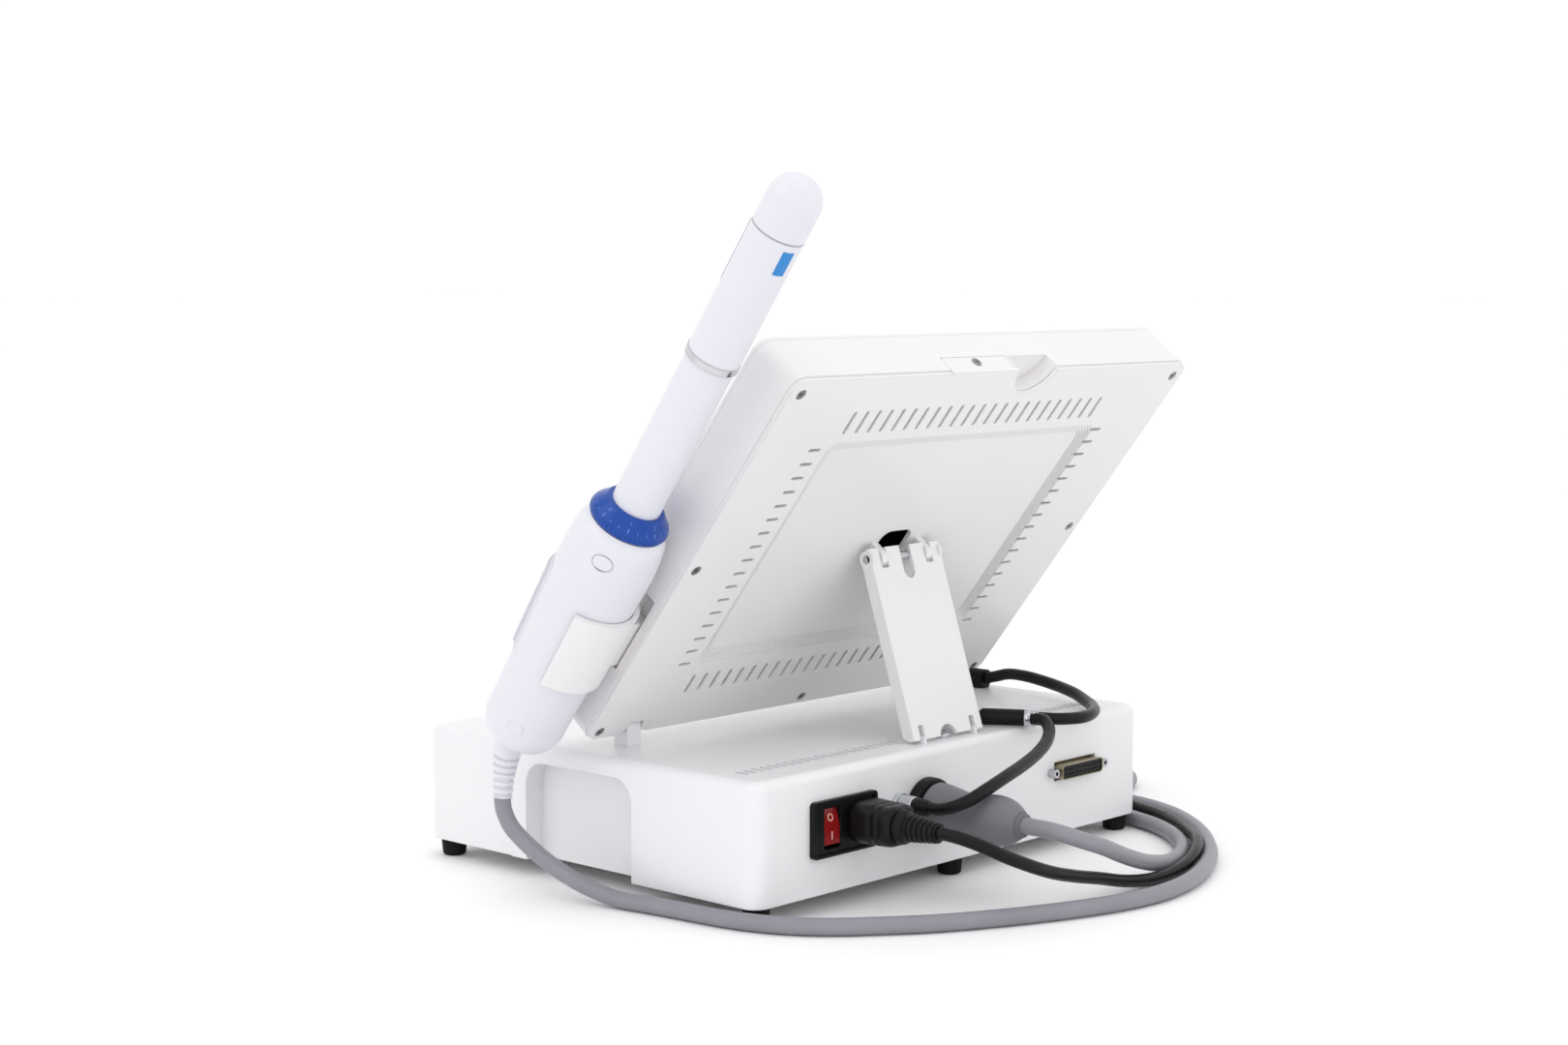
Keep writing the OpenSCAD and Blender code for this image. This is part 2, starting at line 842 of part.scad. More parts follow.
// Part-round clip that holds the handle, on a plate hooked into the screen's side
module cradle() color("white") home() {
    on_hand()
        difference() {
            intersection() {
                translate([0, 0, 26])
                    cylinder(h = 47, r1 = handle_r + 3.3 + 26 * handle_slope,
                        r2 = handle_r + 3.3 + 73 * handle_slope);
                cradle_wedge();
            }
            cylinder(h = 100, r1 = handle_r + 0.35, r2 = handle_r + 0.35 + 100 * handle_slope);
        }
    difference() {
        on_screen()
            translate([screen_w / 2 - 6, 51, 7])
                cube([hand_x - screen_w / 2 - 8, 30, 7]);
        on_hand()
            cylinder(h = 100, r1 = handle_r + 0.35, r2 = handle_r + 0.35 + 100 * handle_slope);
    }
}

// Sector that the clip keeps, from the rear-facing side round to the screen's side
module cradle_wedge() {
    rotate([0, 0, facing])
        linear_extrude(80)
            polygon([
                [0, 0], [40, 0], [40, 40], [-40, 40], [-40, -40],
                [40 * cos(254 - facing), 40 * sin(254 - facing)]
            ]);
}

// ---- prop leg ----

module leg_plate() color("white") home() on_leg() {
    difference() {
        union() {
            translate([-leg_w / 2, 0, -3.4])
                cube([leg_w, leg_len + 5.5, 2.4]);
            for (s = [-1, 1])
                translate([s * (leg_w / 2 - 1.2) - 1.2, 0, 0])
                    leg_flange();
        }
        // slots over the lugs, and the middle notch
        for (s = [-1, 1])
            translate([s * lug_x, leg_len + 1, -3])
                cube([lug_t + 1, 14, 8], center = true);
        translate([-4.5, leg_len - 9, -10])
            cube([9, 30, 20]);
        translate([0, leg_len - 9, -10])
            cylinder(h = 20, r = 4.5);
        // foot: slots over the locating tabs, and the half-round notch for the stop screw
        for (s = [-1, 1])
            translate([s * 22, 2, -3])
                cube([4, 12, 30], center = true);
        translate([0, -1, -10])
            cylinder(h = 20, r = 7);
    }
}

module leg_flange() {
    rotate([90, 0, 90])
        linear_extrude(2.4)
            difference() {
                union() {
                    polygon([[0, -3.4], [0, -0.8], [3, 4], [leg_len, 4], [leg_len, -3.4]]);
                    translate([leg_len, 0])
                        circle(4.8);
                }
                translate([leg_len, 0])
                    circle(leg_pin_r);
            }
}

module leg_pin() color("silver") home() on_leg() {
    translate([-leg_w / 2, leg_len, 0])
        rotate([0, 90, 0])
            cylinder(h = leg_w, r = leg_pin_r);
}

// ---- handpiece ----

function handle_radius(z) = handle_r + handle_slope * z;

module handle_shell() color("white") home() on_hand() {
    difference() {
        union() {
            rotate_extrude()
                polygon(concat(
                    [[0, -30], [8.5, -30]],
                    [for (a = [-62:8:0]) [handle_r * cos(a), 18 * sin(a) - 14]],
                    [[handle_radius(-10), -10], [handle_radius(96), 96]],
                    [for (a = [6:12:66]) [handle_radius(96) - 4 * (1 - cos(a)), 96 + 22 * sin(a)]],
                    [[20.4, handle_len], [0, handle_len]]
                ));
            // raised bed of the side pad
            rotate([0, 0, -60])
                intersection() {
                    translate([18, -11, 26])
                        cube([10, 22, 56]);
                    cylinder(h = 100, r1 = handle_r + 1, r2 = handle_r + 1 + 100 * handle_slope);
                }
        }
        // bore for the probe's spigot and the motor
        translate([0, 0, 14])
            cylinder(h = 200, r = 11);
        // pockets for the pad and the button
        rotate([0, 0, -60])
            translate([19.5, -9.2, 28.8])
                cube([20, 18.4, 50.4]);
        rotate([0, 0, facing])
            translate([17.6, 0, 106])
                rotate([0, 90, 0])
                    cylinder(h = 20, r = 4.3);
    }
}

module lead_relief() color("white") home() {
    swept(relief_points, [8.4, 7.9, 7.2, 6, 5.1], 24);
}

module index_motor() color("dimgray") home() on_hand() {
    translate([0, 0, 16])
        cylinder(h = 50, r = 10.8);
    translate([0, 0, 65])
        cylinder(h = 8, r = 3);
}

module side_pad() color("lavender") home() on_hand()
    rotate([0, 0, -60])
        intersection() {
            translate([20.6, -9, 29])
                cube([10, 18, 50]);
            cylinder(h = 100, r1 = handle_r + 2.2, r2 = handle_r + 2.2 + 100 * handle_slope);
        }

module release_button() color("white") home() on_hand()
    rotate([0, 0, facing])
        translate([19.1, 0, 106])
            rotate([0, 90, 0])
                cylinder(h = 6.6, r = 4.2);

// ---- probe ----

module dial_ring() color("royalblue") home() on_hand() {
    translate([0, 0, dial_at])
        rotate_extrude()
            polygon([
                [shaft_r + 0.01, 0], [20.2, 0], [dial_r, 1], [dial_r, 3.6], [20.6, 5],
                [15.4, 11.2], [14.6, 11.4], [shaft_r + 0.01, 11.4]
            ]);
}

module lower_shaft() color("white") home() on_hand() {
    translate([0, 0, 76])
        cylinder(h = 45, r = 10.9);
    translate([0, 0, 120.5])
        cylinder(h = band_at - 120.5, r = shaft_r);
}

module chrome_band() color("silver") home() on_hand() {
    translate([0, 0, band_at])
        cylinder(h = 3.6, r = probe_r + 0.3);
}

module upper_shaft() color("white") home() on_hand() {
    difference() {
        rotate_extrude()
            polygon(concat(
                [[0, band_at + 3.6], [probe_r, band_at + 3.6], [probe_r, seam_at - 0.4],
                [probe_r - 0.4, seam_at - 0.4], [probe_r - 0.4, seam_at + 0.4], [probe_r, seam_at + 0.4]],
                [for (a = [0:6:90]) [probe_r * cos(a), tip_len - probe_r + probe_r * sin(a)]]
            ));
        // chamber of the transducer, and its window
        translate([0, 0, 250])
            cylinder(h = 58, r = 9.5);
        rotate([0, 0, window_turn])
            translate([5, -5, 263])
                cube([20, 10, 34]);
    }
}
window_turn = -75;

module probe_window() color("lightcyan") home() on_hand()
    rotate([0, 0, window_turn])
        intersection() {
            translate([10.8, -4.9, 263.1])
                cube([10, 9.8, 33.8]);
            translate([0, 0, 250])
                cylinder(h = 60, r = probe_r + 0.5);
        }

module probe_label() color("deepskyblue") home() on_hand()
    rotate([0, 0, 80])
        intersection() {
            translate([10, -3.2, 282])
                cube([10, 6.4, 13]);
            difference() {
                translate([0, 0, 270])
                    cylinder(h = 40, r = probe_r + 0.25);
                translate([0, 0, 260])
                    cylinder(h = 60, r = probe_r);
            }
        }

module transducer() color("goldenrod") home() on_hand() {
    translate([0, 0, 272])
        cylinder(h = 14, r = 8.4);
    translate([0, 0, 285.9])
        cylinder(h = 3, r = 5);
}

// ---- what is on the leads ----

module inlet_plug() color("black") home() {
    translate([plug_x, rear_y - 14, inlet_z + 1])
        rotate([-90, 0, 0])
            union() {
                linear_extrude(18)
                    round_rect(18, 15.2, 2.6);
                translate([0, 0, 17.9])
                    linear_extrude(26)
                        round_rect(26, 22, 7);
            }
}

module inlet_plug_relief() color("black") home() {
    translate([plug_x, rear_y + 29.9, inlet_z + 1])
        rotate([-90, 0, 0])
            rotate_extrude()
                polygon([[0, 0], [10, 0], [9.4, 4], [6.8, 6], [6.6, 24], [5, 25.1], [0, 25.1]]);
}

module mains_lead() color("black") home() lead(mains_route, mains_lead_d, 8);

module mains_lead_end() color("black") home() lead(mains_end_route, mains_lead_d, 8);

module mains_coil() color("black") home()
    translate(mains_coil_at)
        rotate_extrude()
            translate([mains_coil_r - 10.6, 0])
                square([21.2, 14.2]);

module mains_plug() color("black") home()
    translate([-197.2, -82, 0])
        rotate([0, 0, 180])
            union() {
                translate([0, 0, 12])
                    rotate([-90, 0, 0])
                        linear_extrude(24)
                            round_rect(25, 23.8, 7);
                for (s = [-1, 1])
                    translate([s * 6.35 - 0.75, 23.9, 9])
                        cube([1.5, 16, 6.3]);
                translate([0, 23.9, 4.6])
                    rotate([-90, 0, 0])
                        cylinder(h = 18, r = 2.4);
            }

module probe_plug() color("gray") home() {
    translate([socket_x, rear_y - 8, socket_z])
        rotate([-90, 0, 0])
            rotate_extrude()
                polygon([
                    [0, 0], [10.3, 0], [10.3, 15.4], [14.6, 15.4], [15.5, 17], [14.6, 24], [12.6, 32],
                    [12, 37], [12.6, 44], [13.8, 52], [13.6, 60], [11.4, 68], [7.4, 74], [6, 75.4],
                    [0, 75.4]
                ]);
}

module probe_lead_hand() color("gray") home() lead(hand_route, probe_lead_d, 8);

module probe_lead_panel() color("gray") home() lead(panel_route, probe_lead_d, 8);

module probe_coil() color("gray") home()
    translate(probe_coil_at)
        rotate_extrude()
            translate([probe_coil_r - 9.1, 0])
                square([18.2, 18.2]);

// ---- assembly ----

base_shell();
base_bottom();
foot_front_right();
foot_front_middle();
foot_front_left();
foot_rear_right();
foot_rear_middle();
foot_rear_left();
inlet();
rocker();
jack_socket();
jack_plug();
socket_collar();
db25_shell();
db25_insulator();
db25_screws();
leg_stop_screw();
power_supply();
main_board();
link_base_plug();
link_lead_screen();
link_lead_jack();
link_trunk();
link_barrel();
link_ferrule();
trunk_grommet();
screen_housing();
rear_cover();
front_bezel();
lcd_panel();
touch_glass();
display_board();
cover_screws();
hinge_pin_right();
hinge_pin_left();
cradle();
leg_plate();
leg_pin();
handle_shell();
lead_relief();
index_motor();
side_pad();
release_button();
dial_ring();
lower_shaft();
chrome_band();
upper_shaft();
probe_window();
probe_label();
transducer();
inlet_plug();
inlet_plug_relief();
mains_lead();
mains_coil();
mains_lead_end();
mains_plug();
probe_plug();
probe_lead_hand();
probe_lead_panel();
probe_coil();
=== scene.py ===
"""Looks of a tabletop ultrasound treatment console, built on its CAD frame."""

import math

import bmesh
import bpy
from mathutils import Matrix, Vector


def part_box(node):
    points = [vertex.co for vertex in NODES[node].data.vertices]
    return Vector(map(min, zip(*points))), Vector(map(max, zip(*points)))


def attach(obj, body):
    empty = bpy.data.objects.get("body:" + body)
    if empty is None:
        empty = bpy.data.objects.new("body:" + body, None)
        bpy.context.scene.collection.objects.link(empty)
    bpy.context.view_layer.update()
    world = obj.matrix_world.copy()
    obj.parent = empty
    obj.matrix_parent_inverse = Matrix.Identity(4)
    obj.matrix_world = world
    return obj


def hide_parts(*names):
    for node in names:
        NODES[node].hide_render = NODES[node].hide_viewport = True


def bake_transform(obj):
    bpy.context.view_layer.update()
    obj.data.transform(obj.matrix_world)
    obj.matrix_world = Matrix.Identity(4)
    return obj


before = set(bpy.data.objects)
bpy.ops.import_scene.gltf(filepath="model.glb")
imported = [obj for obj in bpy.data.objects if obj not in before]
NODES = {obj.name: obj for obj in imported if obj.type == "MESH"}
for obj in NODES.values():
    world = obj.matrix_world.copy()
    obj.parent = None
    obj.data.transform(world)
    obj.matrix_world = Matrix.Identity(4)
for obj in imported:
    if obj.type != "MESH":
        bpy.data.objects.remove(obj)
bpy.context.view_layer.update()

MM = 0.001
_lo, _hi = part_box("base_shell")
# middle of the base, in the row frame: the part's own measures are counted from here
MID = Vector(((_lo.x + _hi.x) / 2, (_lo.y + _hi.y) / 2, 0.0))


def at(x, y, z):
    """A point given in millimetres from the middle of the base, in the row frame."""
    return MID + Vector((x, y, z)) * MM


def local(origin, turn):
    """Frame at a point in millimetres, turned about X by degrees. Its own units are millimetres."""
    return Matrix.Translation(at(*origin)) @ Matrix.Rotation(math.radians(turn), 4, "X") @ Matrix.Scale(MM, 4)


SCREEN = local((0, 3.9, 81.6), 51.8)      # +Y up the back of the screen, +Z in from its back
HAND = local((197.5, -1, 109), 54.3 - 90)  # +Z along the handpiece
BASE = local((0, 0, 0), 0)

# ---- camera ----

cam = bpy.data.objects.new("camera", bpy.data.cameras.new("camera"))
bpy.context.collection.objects.link(cam)
bpy.context.scene.camera = cam
cam.location = at(1092, 1004, 331.5)
cam.rotation_euler = (at(0, -6, 187) - cam.location).to_track_quat("-Z", "Y").to_euler()
cam.data.sensor_width = 36
cam.data.lens = 2657 / 1620 * 36
cam.data.clip_end = 100

# ---- materials ----


def new_material(name):
    m = bpy.data.materials.new(name)
    m.use_nodes = True
    nt = m.node_tree
    nt.nodes.clear()
    out = nt.nodes.new("ShaderNodeOutputMaterial")
    sh = nt.nodes.new("ShaderNodeBsdfPrincipled")
    nt.links.new(sh.outputs[0], out.inputs[0])
    return m, nt, sh


def noise(nt, scale, detail=3.0, stretch=(1, 1, 1), rough=0.5):
    """Noise in the object's own coordinates. Returns its value output."""
    co = nt.nodes.new("ShaderNodeTexCoord")
    mp = nt.nodes.new("ShaderNodeMapping")
    mp.inputs["Scale"].default_value = stretch
    n = nt.nodes.new("ShaderNodeTexNoise")
    n.inputs["Scale"].default_value = scale
    n.inputs["Detail"].default_value = detail
    n.inputs["Roughness"].default_value = rough
    nt.links.new(co.outputs["Object"], mp.inputs["Vector"])
    nt.links.new(mp.outputs[0], n.inputs["Vector"])
    return n.outputs[0]


def span(nt, value, low, high, from_low=0.3, from_high=0.7):
    r = nt.nodes.new("ShaderNodeMapRange")
    r.inputs["From Min"].default_value = from_low
    r.inputs["From Max"].default_value = from_high
    r.inputs["To Min"].default_value = low
    r.inputs["To Max"].default_value = high
    nt.links.new(value, r.inputs["Value"])
    return r.outputs[0]


def tint(nt, value, a, b):
    """Colour between a and b."""
    mix = nt.nodes.new("ShaderNodeMix")
    mix.data_type = "RGBA"
    mix.inputs[6].default_value = (*a, 1)
    mix.inputs[7].default_value = (*b, 1)
    nt.links.new(value, mix.inputs[0])
    return mix.outputs[2]


def bump(nt, sh, value, height, distance=0.0002, normal=None):
    b = nt.nodes.new("ShaderNodeBump")
    b.inputs["Strength"].default_value = height
    b.inputs["Distance"].default_value = distance
    nt.links.new(value, b.inputs["Height"])
    if normal is not None:
        nt.links.new(normal, b.inputs["Normal"])
    nt.links.new(b.outputs[0], sh.inputs["Normal"])
    return b.outputs[0]


def surface(name, color, rough, vary=0.02, patch=9, rough_vary=0.06, grain=1400, height=0.08,
            stretch=(1, 1, 1), metal=0.0, coat=0.0, coat_rough=0.08, round_edge=0.0004, ior=1.5):
    """Principled surface with a soft change of colour and gloss, a fine grain and rounded edges."""
    m, nt, sh = new_material(name)
    dark = tuple(max(c * (1 - vary), 0) for c in color)
    light = tuple(min(c * (1 + vary), 1) for c in color)
    big = noise(nt, patch, 4, stretch)
    nt.links.new(tint(nt, span(nt, big, 0, 1), dark, light), sh.inputs["Base Color"])
    mid = noise(nt, patch * 7, 3, stretch)
    nt.links.new(span(nt, mid, max(rough - rough_vary, 0.02), rough + rough_vary), sh.inputs["Roughness"])
    sh.inputs["Metallic"].default_value = metal
    sh.inputs["IOR"].default_value = ior
    sh.inputs["Coat Weight"].default_value = coat
    sh.inputs["Coat Roughness"].default_value = coat_rough
    edge = None
    if round_edge:
        bevel = nt.nodes.new("ShaderNodeBevel")
        bevel.samples = 4
        bevel.inputs["Radius"].default_value = round_edge
        edge = bevel.outputs[0]
    bump(nt, sh, noise(nt, grain, 2, stretch), height, 0.0001, edge)
    return m


M = {
    "base": surface("white_base", (0.80, 0.805, 0.82), 0.32, 0.006, rough_vary=0.015, grain=1500,
                    height=0.035, coat=0.08, round_edge=0.0007),
    "screen": surface("white_screen", (0.79, 0.775, 0.785), 0.32, 0.006, rough_vary=0.015, grain=1500,
                      height=0.035, coat=0.08, round_edge=0.0007),
    "hand": surface("white_hand", (0.72, 0.72, 0.775), 0.30, 0.006, rough_vary=0.015, grain=1500,
                    height=0.02, coat=0.12, round_edge=0.0005),
    "pad": surface("grey_pad", (0.62, 0.62, 0.68), 0.5, 0.03, grain=2600, height=0.35, round_edge=0.0008),
    "under": surface("base_plate", (0.62, 0.62, 0.63), 0.55, 0.03, grain=1500, height=0.3),
    "foot": surface("foot_rubber", (0.008, 0.008, 0.009), 0.7, 0.2, grain=2200, height=0.5, ior=1.25),
    "black": surface("black_plastic", (0.006, 0.006, 0.007), 0.36, 0.15, grain=2400, height=0.35,
                     rough_vary=0.06, ior=1.27),
    "black_lead": surface("black_lead", (0.006, 0.006, 0.007), 0.34, 0.2, patch=30, grain=1800, height=0.25,
                          ior=1.28),
    "plug": surface("grey_plug", (0.165, 0.162, 0.178), 0.46, 0.06, grain=2200, height=0.3, ior=1.35),
    "lead": surface("grey_lead", (0.255, 0.255, 0.285), 0.42, 0.05, patch=40, grain=1800, height=0.2,
                    ior=1.4),
    "red": surface("red_rocker", (0.22, 0.006, 0.006), 0.22, 0.08, grain=900, height=0.05, coat=0.2,
                   ior=1.35),
    "mark": surface("switch_mark", (0.72, 0.42, 0.38), 0.5, 0.03, grain=900, height=0.1, round_edge=0),
    "dial_mark": surface("dial_mark", (0.10, 0.24, 0.62), 0.4, 0.05, grain=900, height=0.1,
                         round_edge=0),
    "blue": surface("blue_dial", (0.003, 0.055, 0.33), 0.2, 0.06, grain=900, height=0.06, coat=0.2, ior=1.33),
    "label": surface("blue_label", (0.015, 0.22, 0.60), 0.3, 0.04, grain=900, height=0.08, round_edge=0),
    "chrome": surface("chrome", (0.62, 0.63, 0.65), 0.09, 0.01, patch=14, rough_vary=0.03, grain=500,
                      height=0.03, metal=1.0),
    "steel": surface("steel", (0.52, 0.52, 0.54), 0.3, 0.05, patch=60, stretch=(1, 1, 6), grain=900,
                     height=0.2, metal=1.0),
    "screw": surface("dark_screw", (0.30, 0.30, 0.31), 0.32, 0.08, patch=80, grain=1500, height=0.2,
                     metal=1.0),
    "tin": surface("tin_shell", (0.34, 0.30, 0.20), 0.32, 0.08, patch=60, grain=1200, height=0.25, metal=1.0),
    "glass": surface("front_glass", (0.010, 0.011, 0.014), 0.06, 0.1, rough_vary=0.02, grain=300, height=0.01,
                     coat=0.6, coat_rough=0.03),
    "lcd": surface("lcd_panel", (0.03, 0.035, 0.045), 0.35, 0.1, grain=3000, height=0.1),
    "board": surface("circuit_board", (0.012, 0.13, 0.045), 0.4, 0.25, patch=90, grain=900, height=0.3),
    "film": surface("acoustic_film", (0.66, 0.72, 0.77), 0.16, 0.02, grain=600, height=0.05, coat=0.5),
    "ceramic": surface("transducer", (0.50, 0.33, 0.12), 0.35, 0.08, patch=60, grain=1200, height=0.2,
                       metal=0.6),
    "seam": surface("seam_line", (0.45, 0.45, 0.49), 0.6, 0.05, grain=1500, height=0.2, round_edge=0),
    # painted shade: near-black colour put where the screw heads' cross recesses lie in shade
    "painted_shade_hole": surface("painted_shade_recess", (0.03, 0.03, 0.032), 0.6, 0.1, grain=1500, height=0.2, round_edge=0),
    "tie": surface("hook_tie", (0.02, 0.02, 0.022), 0.85, 0.2, patch=200, grain=4200, height=0.9),
}

# ---- mesh helpers ----


def piece(name, verts, faces, mat, body, smooth=True, space=None):
    """A mesh piece that rides on a body. Its points are in millimetres of the frame given as space."""
    mesh = bpy.data.meshes.new(name)
    space = BASE if space is None else space
    mesh.from_pydata([space @ Vector(v) for v in verts], [], faces)
    mesh.validate()
    bm = bmesh.new()
    bm.from_mesh(mesh)
    bmesh.ops.recalc_face_normals(bm, faces=bm.faces)
    bm.to_mesh(mesh)
    bm.free()
    for p in mesh.polygons:
        p.use_smooth = smooth
    mesh.materials.append(M[mat] if isinstance(mat, str) else mat)
    obj = bpy.data.objects.new(name, mesh)
    bpy.context.collection.objects.link(obj)
    if body:
        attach(obj, body)
    return obj


def smooth_by_angle(obj, degrees=35):
    """Sharp edges above an angle, smooth elsewhere."""
    mesh = obj.data
    for p in mesh.polygons:
        p.use_smooth = True
    bm = bmesh.new()
    bm.from_mesh(mesh)
    for e in bm.edges:
        if len(e.link_faces) == 2 and e.calc_face_angle(0) > math.radians(degrees):
            e.smooth = False
    bm.to_mesh(mesh)
    bm.free()
    return obj


def smoothed(points, step):
    """Dense points on a centripetal Catmull-Rom curve through the points, about step apart."""
    p = [Vector(q) for q in points]
    p = [2 * p[0] - p[1]] + p + [2 * p[-1] - p[-2]]
    out = []
    for i in range(1, len(p) - 2):
        t = [0.0]
        for k in range(3):
            t.append(t[-1] + max((p[i + k] - p[i + k - 1]).length, 1e-6) ** 0.5)
        n = max(2, round((p[i + 1] - p[i]).length / step))
        for j in range(n):
            u = t[1] + (t[2] - t[1]) * j / n
            a = [((t[k + 1] - u) * p[i - 1 + k] + (u - t[k]) * p[i + k]) / (t[k + 1] - t[k])
                 for k in range(3)]
            b = [((t[k + 2] - u) * a[k] + (u - t[k]) * a[k + 1]) / (t[k + 2] - t[k]) for k in range(2)]
            out.append(((t[2] - u) * b[0] + (u - t[1]) * b[1]) / (t[2] - t[1]))
    out.append(p[-2])
    return out


def sweep(path, radii, sides=16, start=None):
    """Points and faces of a tube along a path, with a radius for each point and flat ends."""
    verts, faces = [], []
    n = len(path)
    ref = None
    for i in range(n):
        d = (path[min(i + 1, n - 1)] - path[max(i - 1, 0)]).normalized()
        if ref is None:
            ref = Vector(start) if start else (Vector((0, 0, 1)) if abs(d.z) < 0.9 else Vector((1, 0, 0)))
        u = (ref - d * ref.dot(d)).normalized()
        ref = u
        v = d.cross(u)
        for k in range(sides):
            a = 2 * math.pi * k / sides
            verts.append(path[i] + (u * math.cos(a) + v * math.sin(a)) * radii[i])
    for i in range(n - 1):
        for k in range(sides):
            m = (k + 1) % sides
            faces.append((i * sides + k, i * sides + m, (i + 1) * sides + m, (i + 1) * sides + k))
    faces.append(tuple(range(sides - 1, -1, -1)))
    faces.append(tuple(range((n - 1) * sides, n * sides)))
    return verts, faces


def tube(name, path, radius, mat, body, sides=16):
    """A round tube along a dense path in millimetres of the base's frame."""
    verts, faces = sweep(path, [radius] * len(path), sides)
    return smooth_by_angle(piece(name, verts, faces, mat, body), 60)


def lathe(name, profile, mat, body, space, sides=64, degrees=30):
    """A turned piece: the profile's (radius, height) points go round the frame's Z axis."""
    verts, faces, rings = [], [], []
    for r, z in profile:
        if r < 1e-6:
            rings.append([len(verts)])
            verts.append((0, 0, z))
        else:
            rings.append(list(range(len(verts), len(verts) + sides)))
            verts += [(r * math.cos(2 * math.pi * k / sides), r * math.sin(2 * math.pi * k / sides), z)
                      for k in range(sides)]
    for a, b in zip(rings, rings[1:]):
        for k in range(sides):
            m = (k + 1) % sides
            quad = [a[k % len(a)], a[m % len(a)], b[m % len(b)], b[k % len(b)]]
            quad = list(dict.fromkeys(quad))
            if len(quad) > 2:
                faces.append(tuple(quad))
    for end in (rings[0], rings[-1]):
        if len(end) > 1:
            faces.append(tuple(end))
    return smooth_by_angle(piece(name, verts, faces, mat, body, space=space), degrees)


def ramp(t, a, b):
    """Smooth step from 0 at a to 1 at b."""
    u = min(max((t - a) / (b - a), 0), 1)
    return u * u * (3 - 2 * u)


# ---- leads: the same routes as the CAD's, in millimetres from the middle of the base ----

HAND_ROUTE = [
    (197.5, -29, 52), (197.4, -28.5, 46), (197, -26.5, 41), (196.5, -23, 36), (194.5, -12, 27.5),
    (191, 2.5, 18.5), (186, 21, 10), (181, 42, 5), (177.5, 61, 4.6), (174.5, 85, 4.6), (171, 114, 4.6),
    (162, 141, 4.6), (148, 161, 4.6), (128, 179, 4.6), (108, 194.5, 4.6), (84, 208.5, 4.6),
    (57, 221.5, 4.6), (28, 233, 4.6), (3, 240, 4.6), (-22, 243, 4.6), (-47, 241, 4.6),
    (-72, 234.5, 4.6), (-96, 224.5, 4.6), (-120, 211, 4.6), (-143, 194, 4.6), (-164, 175.5, 4.6),
    (-182, 155, 4.6), (-196, 134, 4.6), (-205, 112, 4.6), (-210, 90, 4.6), (-217, 74, 4.6),
    (-227, 65, 4.6), (-240.8, 62.3, 4.6),
]
PANEL_ROUTE = [
    (33, 196.4, 43), (33, 204, 43), (31.5, 212, 42.5), (27, 218.5, 40.5), (17, 222, 36.5),
    (-1, 222.5, 30), (-20, 220.5, 22.5), (-40, 217.5, 15.5), (-60, 213.5, 10), (-80, 208.5, 6.2),
    (-101, 202, 4.6), (-124, 189.5, 4.6), (-144, 171, 4.6), (-159, 150, 4.6), (-169, 126, 4.6),
    (-176, 99, 4.6), (-180.5, 72, 5), (-181.6, 48, 8.6), (-181.4, 28, 12.4), (-181.4, 8, 13.7),
]
MAINS_ROUTE = [
    (88, 184, 46), (87, 191, 45.6), (84.5, 198.5, 44), (80, 206, 41), (72, 213, 36), (59, 217.5, 30),
    (40, 219, 23), (18, 218.5, 17), (-4, 218, 12), (-25, 218.5, 7), (-46, 219.4, 4), (-68, 219, 3.6),
    (-89, 216.2, 5.4), (-110, 208.2, 8), (-131, 194.6, 8.8), (-150, 177, 7.4), (-167, 157.5, 6.6),
    (-181, 135, 6.6), (-189, 110, 7), (-191.3, 86, 10.2), (-190.8, 60, 16.6), (-190, 34, 21.4),
    (-189.9, 8, 21.8),
]
MAINS_END_ROUTE = [
    (-191.5, 8, 28.8), (-191.5, -8, 28.4), (-192, -20, 25.8), (-193, -32, 22), (-194.8, -44, 17),
    (-196.4, -56, 13), (-197.1, -68, 12), (-197.2, -82, 12),
]
LINK_JACK_ROUTE = [
    (56, 141, 49), (56, 150, 49.2), (56, 158, 49.6), (55, 166, 52), (50.5, 172.5, 55.5), (40, 175.5, 60),
    (21.5, 174, 64), (-2.5, 168.5, 67), (-24, 162, 70), (-41, 155, 73.5), (-52.5, 147.5, 77.5),
    (-58, 139.5, 80.5), (-57.5, 132, 80.5),
]
LINK_SCREEN_ROUTE = [
    (-150, 25, 81.5), (-150, 33, 83.4), (-149.6, 43, 86), (-147.6, 57, 86.6), (-146, 72, 85.4),
    (-143, 87, 83.8), (-136.5, 103, 82.4), (-127.5, 118, 80.6), (-116, 131.5, 80),
    (-103, 141.5, 80), (-88, 147.5, 80), (-77, 147.5, 80.2), (-67.5, 142, 80.4), (-62, 133, 80.5),
]
TRUNK_ROUTE = [
    (-45, 106, 80.5), (-40.5, 99, 80.5), (-38.5, 92, 80.5), (-38, 84, 80.5), (-38, 78, 80.5),
]
COIL_AT = (-236, 8)


def length_m(path):
    return sum((b - a).length for a, b in zip(path, path[1:])) * MM


def probe_coil(step=12):
    """Turns of the probe lead, counter-clockwise: outer and inner turn, then two above them."""
    out = []
    total = 988
    for i in range(1, total // step + 1):
        t = min(i * step, total)
        r = 54.55 - 9.1 * ramp(t, 300, 360) + 9.1 * ramp(t, 900, 960)
        z = 4.6 + 9.1 * ramp(t, 600, 660)
        a = math.radians(95 + (t * (985 / 988)))
        out.append((COIL_AT[0] + r * math.cos(a), COIL_AT[1] + r * math.sin(a), z))
    return out


